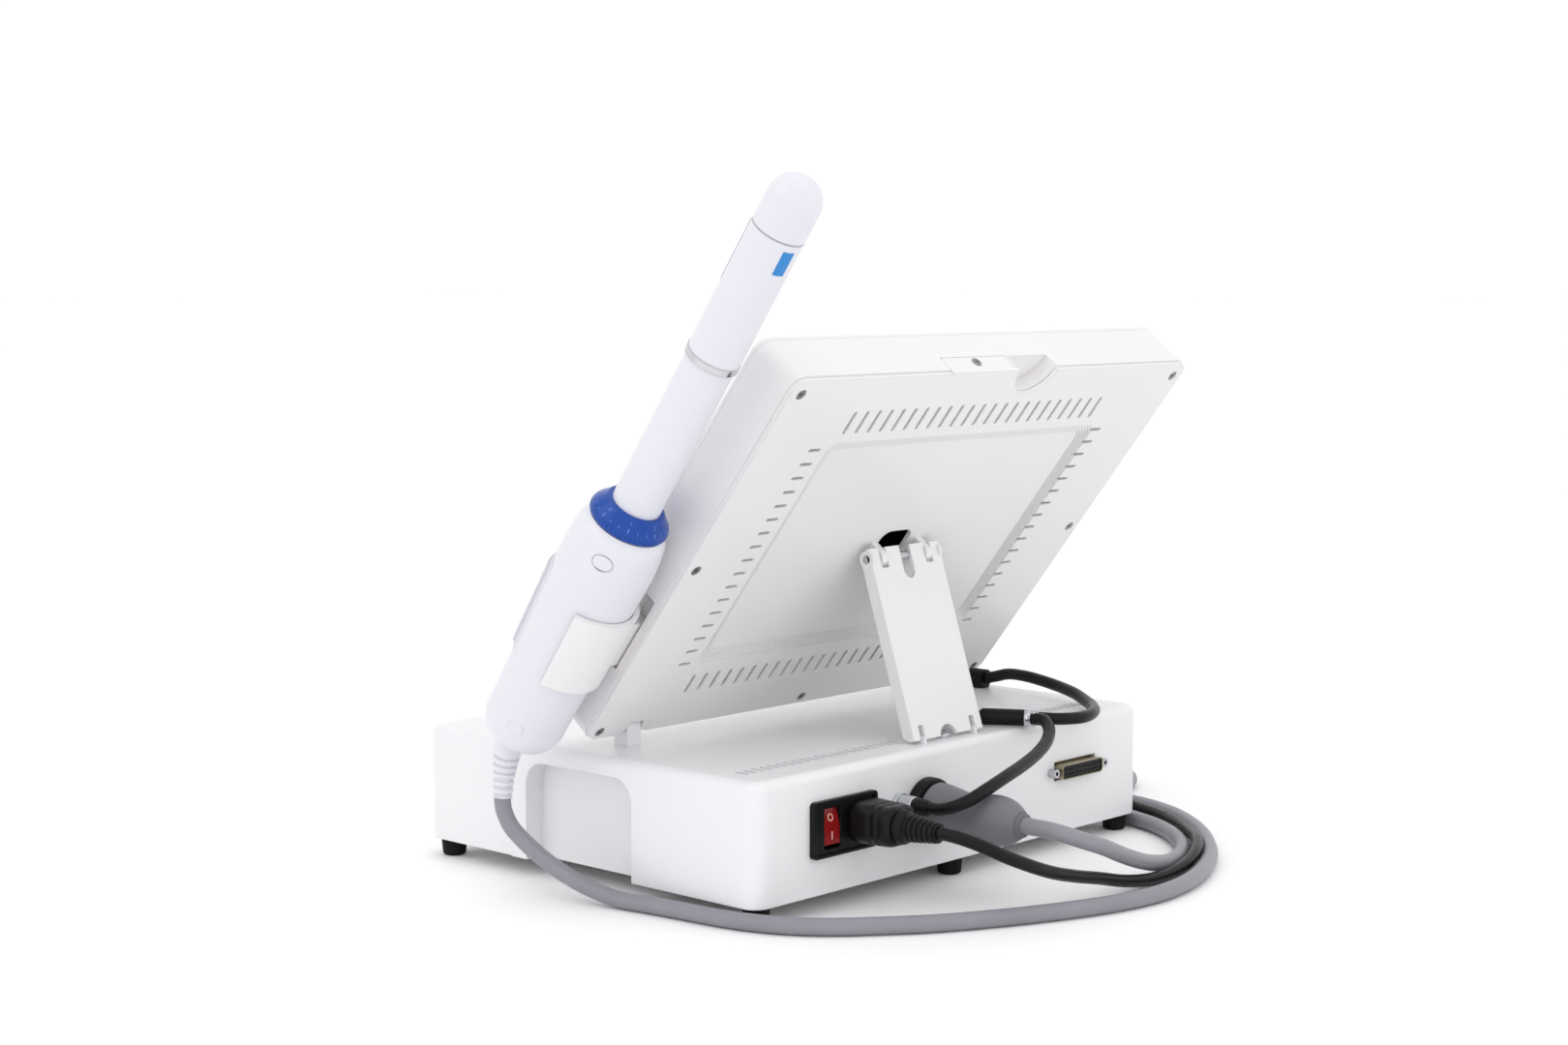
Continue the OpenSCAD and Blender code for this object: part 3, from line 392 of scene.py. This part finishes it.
def mains_coil(step=15):
    """Turns of the mains lead, clockwise: in along the lower layer, out along the upper one."""
    out = []
    for i in range(1, 1440 // step):
        t = i * step
        if t <= 720:
            r = 46.1 - 7.1 * t / 360
        else:
            r = 31.9 + 7.1 * max(t - 800, 0) / 360
        z = 21.8 + 7.05 * ramp(t, 720, 800)
        a = math.radians(-t)
        out.append((COIL_AT[0] + r * math.cos(a), COIL_AT[1] + r * math.sin(a), z))
    return out


probe_path = smoothed(HAND_ROUTE + probe_coil() + PANEL_ROUTE[::-1][1:], 3)
probe_lead = tube("probe_lead", probe_path, 4.5, "lead", None)
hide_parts("probe_lead_hand", "probe_lead_panel", "probe_coil")
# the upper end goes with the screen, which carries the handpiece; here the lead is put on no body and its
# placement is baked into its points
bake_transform(probe_lead)

top_path = probe_path[:15]
lead_top = tube("probe_lead_top", top_path, 4.53, "lead", None)
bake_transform(lead_top)

mains_path = smoothed(MAINS_ROUTE + mains_coil() + MAINS_END_ROUTE, 3)
mains_lead = tube("mains_lead_whole", mains_path, 3.5, "black_lead", "base")
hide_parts("mains_lead", "mains_coil", "mains_lead_end")

for name, route, node in (("link_jack_tube", LINK_JACK_ROUTE, "link_lead_jack"),
                          ("link_screen_tube", LINK_SCREEN_ROUTE, "link_lead_screen"),
                          ("link_trunk_tube", TRUNK_ROUTE, "link_trunk")):
    link = tube(name, smoothed(route, 2), 3.5, "black_lead", "base")
    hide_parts(node)

# ---- turned and moulded pieces that stand for the CAD's plainer ones ----


def axis_frame(x, y, z, direction):
    """Frame at a point in millimetres with +Z along a direction, and +X level."""
    d = Vector(direction).normalized()
    side = Vector((0, 0, 1)).cross(d)
    side = side.normalized() if side.length > 0.01 else Vector((1, 0, 0))
    turn = Matrix((side, d.cross(side), d)).transposed().to_4x4()
    return Matrix.Translation(at(x, y, z)) @ turn @ Matrix.Scale(MM, 4)


def curve_profile(points, step=0.8):
    """Turned profile smoothed through (radius, height) points."""
    return [(max(p.x, 0.0), p.y) for p in smoothed([(r, z, 0) for r, z in points], step)]


def outline(w, h, r, n=6):
    """Points round a rectangle with round corners."""
    pts = []
    for cx, cy, a0 in ((w / 2 - r, h / 2 - r, 0), (-w / 2 + r, h / 2 - r, 90),
                       (-w / 2 + r, -h / 2 + r, 180), (w / 2 - r, -h / 2 + r, 270)):
        for k in range(n + 1):
            a = math.radians(a0 + 90 * k / n)
            pts.append((cx + r * math.cos(a), cy + r * math.sin(a)))
    return pts


def loft(name, sections, mat, body, space, degrees=32):
    """Closed body through rectangles with round corners: (width, depth, corner, height)."""
    rings = [[(x, y, z) for x, y in outline(w, h, r)] for w, h, r, z in sections]
    n = len(rings[0])
    verts = [p for ring in rings for p in ring]
    faces = [(i * n + k, i * n + (k + 1) % n, (i + 1) * n + (k + 1) % n, (i + 1) * n + k)
             for i in range(len(rings) - 1) for k in range(n)]
    faces += [tuple(range(n)), tuple(range((len(rings) - 1) * n, len(rings) * n))]
    return smooth_by_angle(piece(name, verts, faces, mat, body, space=space), degrees)


def flat_shape(name, loops, thick, mat, body, space):
    """Thin raised marks: each loop of (x, y) points becomes a slab from 0 to thick."""
    verts, faces = [], []
    for pts in loops:
        o, n = len(verts), len(pts)
        verts += [(x, y, 0) for x, y in pts] + [(x, y, thick) for x, y in pts]
        faces += [tuple(o + k for k in range(n)), tuple(o + n + k for k in range(n))]
        faces += [(o + k, o + (k + 1) % n, o + n + (k + 1) % n, o + n + k) for k in range(n)]
    return piece(name, verts, faces, mat, body, smooth=False, space=space)


def stand_for(obj, node):
    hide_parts(node)
    return obj


def ribs(z0, z1, r0, r1, pitch, deep, land=0.6):
    """Profile of a tapered strain relief with grooves round it."""
    out, z = [], z0
    while z < z1 - pitch * 0.5:
        t = (z - z0) / (z1 - z0)
        r = r0 + (r1 - r0) * t
        out += [(r, z), (r, z + pitch * land - 0.3), (r - 0.3, z + pitch * land),
                (r - deep, z + pitch * land + 0.2), (r - deep, z + pitch - 0.4), (r - 0.3, z + pitch - 0.1)]
        z += pitch
    return out + [(r1, z), (r1, z1)]


def handle_radius(s):
    """Radius of the handle at height s above the handpiece's origin."""
    if s < -10:
        k = min((-14 - s) / 18, 1) if s < -14 else 0
        return 22.0 * math.sqrt(max(1 - k * k, 0))
    k = min(max(s - 96, 0) / 22, 1)
    return 22.2 + 0.03 * min(s, 96) - 4 * (1 - math.sqrt(1 - k * k))


# strain relief of the handpiece: a swept tube with grooves, softly tapered
RELIEF = [(197.5, -19, 91), (197.5, -22, 84), (197.5, -24.8, 76), (197.5, -27.4, 65), (197.5, -29, 52)]
relief_path = smoothed(RELIEF, 0.45)
relief_len = length_m(relief_path) / MM
radii, run = [], 0.0
for i, p in enumerate(relief_path):
    run += (p - relief_path[i - 1]).length if i else 0.0
    t = run / relief_len
    r = 8.3 - 2.9 * ramp(t, 0.05, 1.0) - 0.25 * ramp(t, 0.96, 1.0)
    if 0.34 < t < 0.97 and ((t - 0.34) * relief_len) % 4.3 > 2.9:
        r -= 1.1
    radii.append(r)
rv, rf = sweep(relief_path, radii, 40)
relief = smooth_by_angle(piece("relief_ribbed", rv, rf, "hand", "handpiece"), 40)
stand_for(relief, "lead_relief")

# grey probe plug
plug_frame = axis_frame(33, 121, 43, (0, 1, 0))
body_profile = [(0, 0), (10.2, 0), (10.2, 15.4), (13.9, 15.4), (14.4, 16.0)] + curve_profile(
    [(14.9, 17), (14.7, 21), (13.6, 28), (12.3, 35), (12.1, 41), (12.9, 48), (13.6, 54), (13.4, 60),
     (11.8, 66), (9.2, 70.5), (7.4, 73)]) + [(6.4, 73.2), (6.4, 75.2), (5.9, 75.4), (0, 75.4)]
grey_plug = lathe("probe_plug_moulded", body_profile, "plug", "base", plug_frame, 96, 40)
stand_for(grey_plug, "probe_plug")

# black ring round the socket
collar = lathe("socket_ring", [(10.6, 18), (10.6, 0.6), (11.2, 0), (15.2, 0), (16.3, 0.5), (16.9, 1.6),
                               (17, 6.3), (16.4, 6.98), (11.9, 6.98), (11.9, 18)], "black", "base",
               axis_frame(33, 136, 43, (0, -1, 0)), 96, 35)
stand_for(collar, "socket_collar")

# mains plug at the inlet: moulded body and ribbed relief
plug_y = axis_frame(88, 132.9, 45.8, (0, 1, 0))
moulding = loft("inlet_plug_moulded", [
    (17.8, 15, 2.4, -17.8), (17.8, 15, 2.4, 0), (24.4, 20.4, 6, 0.05), (25.8, 21.8, 6.8, 1.2),
    (26, 22, 7, 4),
    (25.4, 21.4, 6.8, 10), (25.4, 21.4, 6.8, 13), (24.8, 20.8, 6.6, 13.6), (24.8, 20.8, 6.6, 15.2),
    (25.4, 21.4, 6.8, 15.8), (25.4, 21.4, 6.8, 18), (24.8, 20.8, 6.6, 18.6), (24.8, 20.8, 6.6, 20.2),
    (25.2, 21.2, 6.8, 20.8), (24.4, 20.6, 7.4, 24.4), (21.4, 18.6, 8.6, 25.9)], "black", "base", plug_y)
stand_for(moulding, "inlet_plug")
cord_relief = lathe("inlet_plug_ribs", [(0, 0), (9.3, 0), (9.1, 2.6), (7.0, 4.4)]
                    + ribs(5.4, 24.6, 7.3, 5.2, 3.2, 1.1) + [(4.6, 25.05), (0, 25.05)], "black", "base",
                    axis_frame(88, 158.9, 45.8, (0, 1, 0)), 48, 35)
stand_for(cord_relief, "inlet_plug_relief")

# jack plug: knurled chrome ring, with a black sleeve behind it
jack = axis_frame(56, 132.1, 49, (0, 1, 0))
kv, kf = [], []
TEETH = 44
for r, z in ((4.6, 0), (5.0, 0.4), (5.15, 0.9), (5.15, 7.9), (5.0, 8.4), (4.6, 8.8)):
    for k in range(TEETH * 2):
        a = math.pi * k / TEETH
        rr = r - (0.28 if k % 2 and 0.8 < z < 8 else 0)
        kv.append((rr * math.cos(a), rr * math.sin(a), z))
n2 = TEETH * 2
for i in range(5):
    kf += [(i * n2 + k, i * n2 + (k + 1) % n2, (i + 1) * n2 + (k + 1) % n2, (i + 1) * n2 + k)
           for k in range(n2)]
kf += [tuple(range(n2)), tuple(range(5 * n2, 6 * n2))]
knurl = smooth_by_angle(piece("jack_knurl", kv, kf, "chrome", "base", space=jack), 20)
stand_for(knurl, "jack_plug")
sleeve = lathe("jack_sleeve", [(3.3, 8.8), (4.7, 8.8), (4.9, 9.2), (4.8, 13), (4.3, 17.2), (3.9, 18.2),
                               (3.45, 18.4)], "black", "base", jack, 40, 30)

# barrel and ferrule on the link lead
barrel_dir = (15, -25.5, 0)
barrel = lathe("link_barrel_turned", [(0, 0), (4.2, 0), (4.7, 0.5), (4.75, 1.2), (4.75, 23.6), (4.6, 24.5),
                                      (4.1, 25), (0, 25)],
               "black", "base", axis_frame(-57.2, 126.8, 80.5, barrel_dir), 48, 35)
stand_for(barrel, "link_barrel")
ferrule = lathe("link_ferrule_turned", [(0, 1.2), (4.3, 1.2), (4.4, 0.1), (4.9, 0), (5.1, 0.4), (5.1, 1.4),
                                        (4.7, 1.8), (4.7, 3.6), (5.1, 4), (5.1, 5.6), (4.8, 6.2), (0, 6.2)],
                "chrome", "base", axis_frame(-60.4, 132.2, 80.5, barrel_dir), 48, 35)
stand_for(ferrule, "link_ferrule")

# release button: an oval dome
BUTTON_AT = 106
BUTTON_SKIN = handle_radius(BUTTON_AT)
BUTTON_ANGLE = math.radians(34)
button_dir = (HAND.to_3x3() @ Vector((math.cos(BUTTON_ANGLE), math.sin(BUTTON_ANGLE), 0))).normalized()
along = (HAND.to_3x3() @ Vector((0, 0, 1))).normalized()
side = button_dir.cross(along).normalized()
button_turn = Matrix((side, along, button_dir)).transposed().to_4x4()
button = Matrix.Translation(HAND @ Vector((0, 0, BUTTON_AT))) @ button_turn @ Matrix.Scale(MM, 4)
BUTTON_R, BUTTON_RISE, BUTTON_FOOT = 3.9, 1.1, 19.2
dome = [(0, BUTTON_FOOT), (BUTTON_R, BUTTON_FOOT)]
for i in range(9):
    t = i / 8 * math.pi / 2
    dome.append((BUTTON_R * math.cos(t * 0.96), BUTTON_SKIN - 0.15 + BUTTON_RISE * math.sin(t)))
dome.append((0, BUTTON_SKIN + 0.97))
oval = button @ Matrix.Diagonal((1.34, 1.0, 1.0, 1.0))
cap = lathe("button_dome", dome, "hand", "button", oval, 48, 40)
rim_pts = []
for k in range(61):
    x, y = 5.6 * math.cos(2 * math.pi * k / 60), 4.3 * math.sin(2 * math.pi * k / 60)
    rim_pts.append(Vector((x, y, math.sqrt(handle_radius(BUTTON_AT + y) ** 2 - x * x) - 0.1)))
bv, bf = sweep(rim_pts, [0.26] * 61, 6, start=(0, 0, 1))
rim = piece("button_rim", bv, bf, "seam", "handpiece", space=button)
stand_for(cap, "release_button")

# dial: ticks and plain numbers on the bevel
EDGE_R, EDGE_AT = 20.6, 125.4             # outer edge of the dial's bevel, and its height
IN, UP = 5.2, 6.2                         # how far the bevel goes in and up
INK = 0.04                                # the ticks stand this far proud
ink = []
for k in range(24):
    a = 2 * math.pi * k / 24
    t0, t1, half = (0.06, 0.26, 0.16) if k % 3 else (0.04, 0.32, 0.26)
    quad = []
    for s, t in ((-1, t0), (1, t0), (1, t1), (-1, t1)):
        r = EDGE_R - IN * t + INK
        quad.append((r * math.cos(a) - s * half * math.sin(a), r * math.sin(a) + s * half * math.cos(a),
                     EDGE_AT + UP * t + INK))
    ink.append(quad)
iv = [p for q in ink for p in q]
tick = piece("dial_ticks", iv, [tuple(range(4 * i, 4 * i + 4)) for i in range(len(ink))], "dial_mark",
             "probe", smooth=False, space=HAND)
for k in range(8):
    a = 2 * math.pi * k / 8
    font = bpy.data.curves.new(f"dial_number_{k}", "FONT")
    font.body = str(k)
    font.align_x, font.align_y = "CENTER", "CENTER"
    font.size = 3.0
    font.extrude = 0.02
    digit = bpy.data.objects.new(f"dial_number_{k}", font)
    bpy.context.collection.objects.link(digit)
    out = Vector((math.cos(a), math.sin(a), 0))
    up = Vector((0, 0, 1))
    tangent = up.cross(out)
    slope = (-out * IN + up * UP).normalized()
    normal = tangent.cross(slope)
    place = out * (EDGE_R - IN * 0.66) + up * (EDGE_AT + UP * 0.66) + normal * 0.03
    turn = Matrix((tangent, slope, normal)).transposed().to_4x4()
    digit.matrix_world = HAND @ Matrix.Translation(place) @ turn
    bpy.context.view_layer.update()
    mesh = bpy.data.meshes.new_from_object(digit)
    mesh.transform(digit.matrix_world)
    name = digit.name
    bpy.data.objects.remove(digit)
    mark = bpy.data.objects.new(name + "_mark", mesh)
    bpy.context.collection.objects.link(mark)
    mesh.materials.clear()
    mesh.materials.append(M["dial_mark"])
    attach(mark, "probe")

# dial: grip ribs round its edge
gv, gf = [], []
for k in range(48):
    a = 2 * math.pi * k / 48
    for z in (121.8, 123.9):
        for s in (-0.35, 0.35):
            for r, w in ((21.0, 1.3 * s), (21.42, 0.6 * s)):      # wide at its foot, narrow at its top
                gv.append((r * math.cos(a) - w * math.sin(a), r * math.sin(a) + w * math.cos(a), z))
    o = 8 * k
    gf += [(o, o + 1, o + 3, o + 2), (o + 4, o + 5, o + 7, o + 6), (o, o + 1, o + 5, o + 4),
           (o + 2, o + 3, o + 7, o + 6), (o + 1, o + 3, o + 7, o + 5), (o, o + 2, o + 6, o + 4)]
grip = piece("dial_grip", gv, gf, "blue", "probe", smooth=False, space=HAND)

# screw heads: a cross of painted shade in each, standing for the shade in its recess
SCREWS = [(160, 242), (-160, 242), (160, 124), (-160, 124), (160, 6), (-160, 6), (0, 6)]


def cross(size, arm):
    """Outline of a cross: half its length, and half an arm's width."""
    return [(-arm, -size), (arm, -size), (arm, -arm), (size, -arm), (size, arm), (arm, arm), (arm, size),
            (-arm, size), (-arm, arm), (-size, arm), (-size, -arm), (-arm, -arm)]


marks = [[(x + c[0], y + c[1]) for c in cross(1.5, 0.36)] for x, y in SCREWS]
crosses = flat_shape("screw_crosses", marks, -0.03, "painted_shade_hole", "screen",
                     SCREEN @ Matrix.Translation((0, 0, 0.3)))
tab = SCREEN @ Matrix.Translation((22, 251.6 + 0.6, 8)) @ Matrix.Rotation(math.radians(-90), 4, "X")
tab_cross = flat_shape("tab_screw_cross", [cross(1.5, 0.36)], 0.03, "painted_shade_hole", "screen", tab)
stop = axis_frame(0, 114, 79.4, (0, 0, 1))
stop_cross = flat_shape("stop_screw_cross", [cross(1.9, 0.42)], 0.03, "painted_shade_hole", "base", stop)

# rocker: a bar and a ring
rock = (Matrix.Translation(at(110.9, 126, 44.8)) @ Matrix.Rotation(math.radians(8), 4, "X")
        @ Matrix.Scale(MM, 4))


def on_rocker(z):
    """Frame on the face of the rocker's upper or lower half, z from its pivot."""
    lean = math.atan2(1.2, 9.4) * (1 if z > 0 else -1)
    y = 4.6 - 1.2 * abs(z) / 9.4 + 0.02
    return rock @ Matrix.Translation((0, y, z)) @ Matrix.Rotation(math.radians(-90) + lean, 4, "X")


bar = flat_shape("switch_bar", [[(-0.45, -2.1), (0.45, -2.1), (0.45, 2.1), (-0.45, 2.1)]], 0.03, "mark",
                 "rocker", on_rocker(-4.7))
ring_loops = []
for k in range(24):
    a, b = 2 * math.pi * k / 24, 2 * math.pi * (k + 1) / 24
    ring_loops.append([(1.4 * math.cos(a), 1.4 * math.sin(a)), (2.1 * math.cos(a), 2.1 * math.sin(a)),
                       (2.1 * math.cos(b), 2.1 * math.sin(b)), (1.4 * math.cos(b), 1.4 * math.sin(b))])
ring = flat_shape("switch_ring", ring_loops, 0.03, "mark", "rocker", on_rocker(4.7))


def on_handle(s, angle, lift=0):
    """Point on the handle's side at height s and angle round it, in the handpiece's frame."""
    r, a = handle_radius(s) + lift, math.radians(angle)
    return Vector((r * math.cos(a), r * math.sin(a), s))


# handle: seam of its two halves, the second one ending at the side pad, and the round plug low on its side
for name, ang, ends in (("seam_a", 124, 117), ("seam_b", -56, 24)):
    pts = [on_handle(s, ang, -0.06) for s in range(-26, ends, 2)]
    sv, sf = sweep(pts, [0.16] * len(pts), 6)
    seam = piece("handle_" + name, sv, sf, "seam", "handpiece", space=HAND)
BUNG_AT, BUNG_ANGLE = -9, 31
turn = math.radians(BUNG_ANGLE)
outward = (HAND.to_3x3() @ Vector((math.cos(turn), math.sin(turn), -0.03))).normalized()
level = along.cross(outward).normalized()
bung_turn = Matrix((level, outward.cross(level), outward)).transposed().to_4x4()
bung = lathe("handle_plug", [(0, -1.4), (4.3, -1.4), (4.5, -0.1), (4.1, 0.32), (2.5, 0.5), (0, 0.55)],
             "hand", "handpiece",
             Matrix.Translation(HAND @ on_handle(BUNG_AT, BUNG_ANGLE)) @ bung_turn @ Matrix.Scale(MM, 4),
             48, 40)

# probe window: thin raised frame
WINDOW_ANGLE = math.radians(-75)
HALF, LOW, HIGH = 5.3, 262.6, 297.4       # half its width round the probe, and its ends
PROBE_R = 13.9
border = [(-HALF + 2 * HALF * i / 24, LOW) for i in range(25)]
border += [(HALF, LOW + (HIGH - LOW) * i / 12) for i in range(1, 13)]
border += [(HALF - 2 * HALF * i / 24, HIGH) for i in range(1, 25)]
border += [(-HALF, HIGH - (HIGH - LOW) * i / 12) for i in range(1, 12)]
border.append(border[0])
mid = Vector((math.cos(WINDOW_ANGLE), math.sin(WINDOW_ANGLE), 0))
quarter = Vector((-math.sin(WINDOW_ANGLE), math.cos(WINDOW_ANGLE), 0))
edge_path = [(mid * math.cos(t / PROBE_R) + quarter * math.sin(t / PROBE_R)) * (PROBE_R + 0.02)
             + Vector((0, 0, s)) for t, s in border]
fv, ff = sweep(edge_path, [0.22] * len(edge_path), 6)
edge = piece("window_edge", fv, ff, "seam", "probe", space=HAND)

# thin dark joints beside the chrome band and round the tip cap
for name, s_at, rad in (("joint_low", 221.9, 13.45), ("joint_high", 225.75, 13.95), ("joint_tip", 299, 13.6)):
    loop_pts = [Vector((rad * math.cos(2 * math.pi * k / 72), rad * math.sin(2 * math.pi * k / 72), s_at))
                for k in range(73)]
    jv, jf = sweep(loop_pts, [0.3] * 73, 6, start=(0, 0, 1))
    joint = piece("probe_" + name, jv, jf, "seam", "probe", space=HAND)

# ties round the two coils
TIE_HIGH, TIE_OUT, TIE_HALF = 16.6, 44.3, 5     # its middle's height and radius, and half its width
for name, ang in (("tie_a", -90), ("tie_b", -125)):
    loop = outline(33.4, 33.0, 4, 5)
    a = math.radians(ang)
    ro, rt = Vector((math.cos(a), math.sin(a), 0)), Vector((-math.sin(a), math.cos(a), 0))
    tv, tf = [], []
    nl = len(loop)
    for w in (-TIE_HALF, TIE_HALF):
        for kx, kz in ((1, 1), (0.95, 0.955)):          # outer face, then inner face
            tv += [Vector((*COIL_AT, TIE_HIGH)) + ro * (TIE_OUT + x * kx) + rt * w + Vector((0, 0, z * kz))
                   for x, z in loop]
    for k in range(nl):
        m = (k + 1) % nl
        tf += [(k, m, 2 * nl + m, 2 * nl + k), (nl + k, nl + m, 3 * nl + m, 3 * nl + k),
               (k, m, nl + m, nl + k), (2 * nl + k, 2 * nl + m, 3 * nl + m, 3 * nl + k)]
    tie = smooth_by_angle(piece("coil_" + name, tv, tf, "tie", "base"), 40)

# ---- materials on the CAD nodes ----

LOOKS = {
    "base": ["base_shell"],
    "under": ["base_bottom"],
    "foot": [n for n in NODES if n.startswith("foot_")],
    "black": ["inlet", "socket_collar", "db25_insulator", "inlet_plug", "inlet_plug_relief", "link_base_plug",
              "link_barrel", "trunk_grommet", "mains_plug"],
    "red": ["rocker"],
    "chrome": ["jack_socket", "jack_plug", "link_ferrule", "chrome_band"],
    "tin": ["db25_shell"],
    "steel": ["db25_screws", "leg_stop_screw", "power_supply", "hinge_pin_right", "hinge_pin_left", "leg_pin",
              "index_motor"],
    "screw": ["cover_screws"],
    "board": ["main_board", "display_board"],
    "screen": ["screen_housing", "rear_cover", "front_bezel", "cradle", "leg_plate"],
    "lcd": ["lcd_panel"],
    "glass": ["touch_glass"],
    "hand": ["handle_shell", "lead_relief", "release_button", "lower_shaft", "upper_shaft"],
    "pad": ["side_pad"],
    "blue": ["dial_ring"],
    "label": ["probe_label"],
    "film": ["probe_window"],
    "ceramic": ["transducer"],
    "plug": ["probe_plug"],
}
for look, names in LOOKS.items():
    for n in names:
        for s in NODES[n].material_slots:
            s.material = M[look]

# ---- stage ----

floor_mat, _, floor_sh = new_material("floor")
floor_sh.inputs["Base Color"].default_value = (0.98, 0.98, 0.985, 1)
floor_sh.inputs["Roughness"].default_value = 0.65
floor_sh.inputs["Specular IOR Level"].default_value = 0.25
bpy.ops.mesh.primitive_plane_add(size=60, location=(0, 0, -0.0002))
floor = bpy.context.object
floor.name = "floor"
floor.data.materials.append(floor_mat)

world = bpy.data.worlds.new("studio")
bpy.context.scene.world = world
world.use_nodes = True
world.node_tree.nodes["Background"].inputs[0].default_value = (1.0, 1.0, 1.0, 1)
world.node_tree.nodes["Background"].inputs[1].default_value = 1.03
bpy.context.scene.view_settings.view_transform = "Standard"


def area(name, place, look, size, power, color=(1, 1, 1)):
    data = bpy.data.lights.new(name, "AREA")
    data.shape = "RECTANGLE"
    data.size, data.size_y = size
    data.energy = power
    data.color = color
    obj = bpy.data.objects.new(name, data)
    bpy.context.collection.objects.link(obj)
    obj.location = at(*place)
    obj.rotation_euler = (at(*look) - obj.location).to_track_quat("-Z", "Y").to_euler()
    return obj


area("key", (1500, -200, 1500), (0, 0, 100), (1.2, 1.2), 3.5)
area("top", (0, 300, 1900), (0, 0, 80), (2.0, 2.0), 3)
area("rear", (-700, 1500, 900), (0, 60, 80), (1.0, 1.0), 1.5)
area("fill", (1300, 1500, 500), (0, 60, 160), (2.0, 2.0), 2.2)
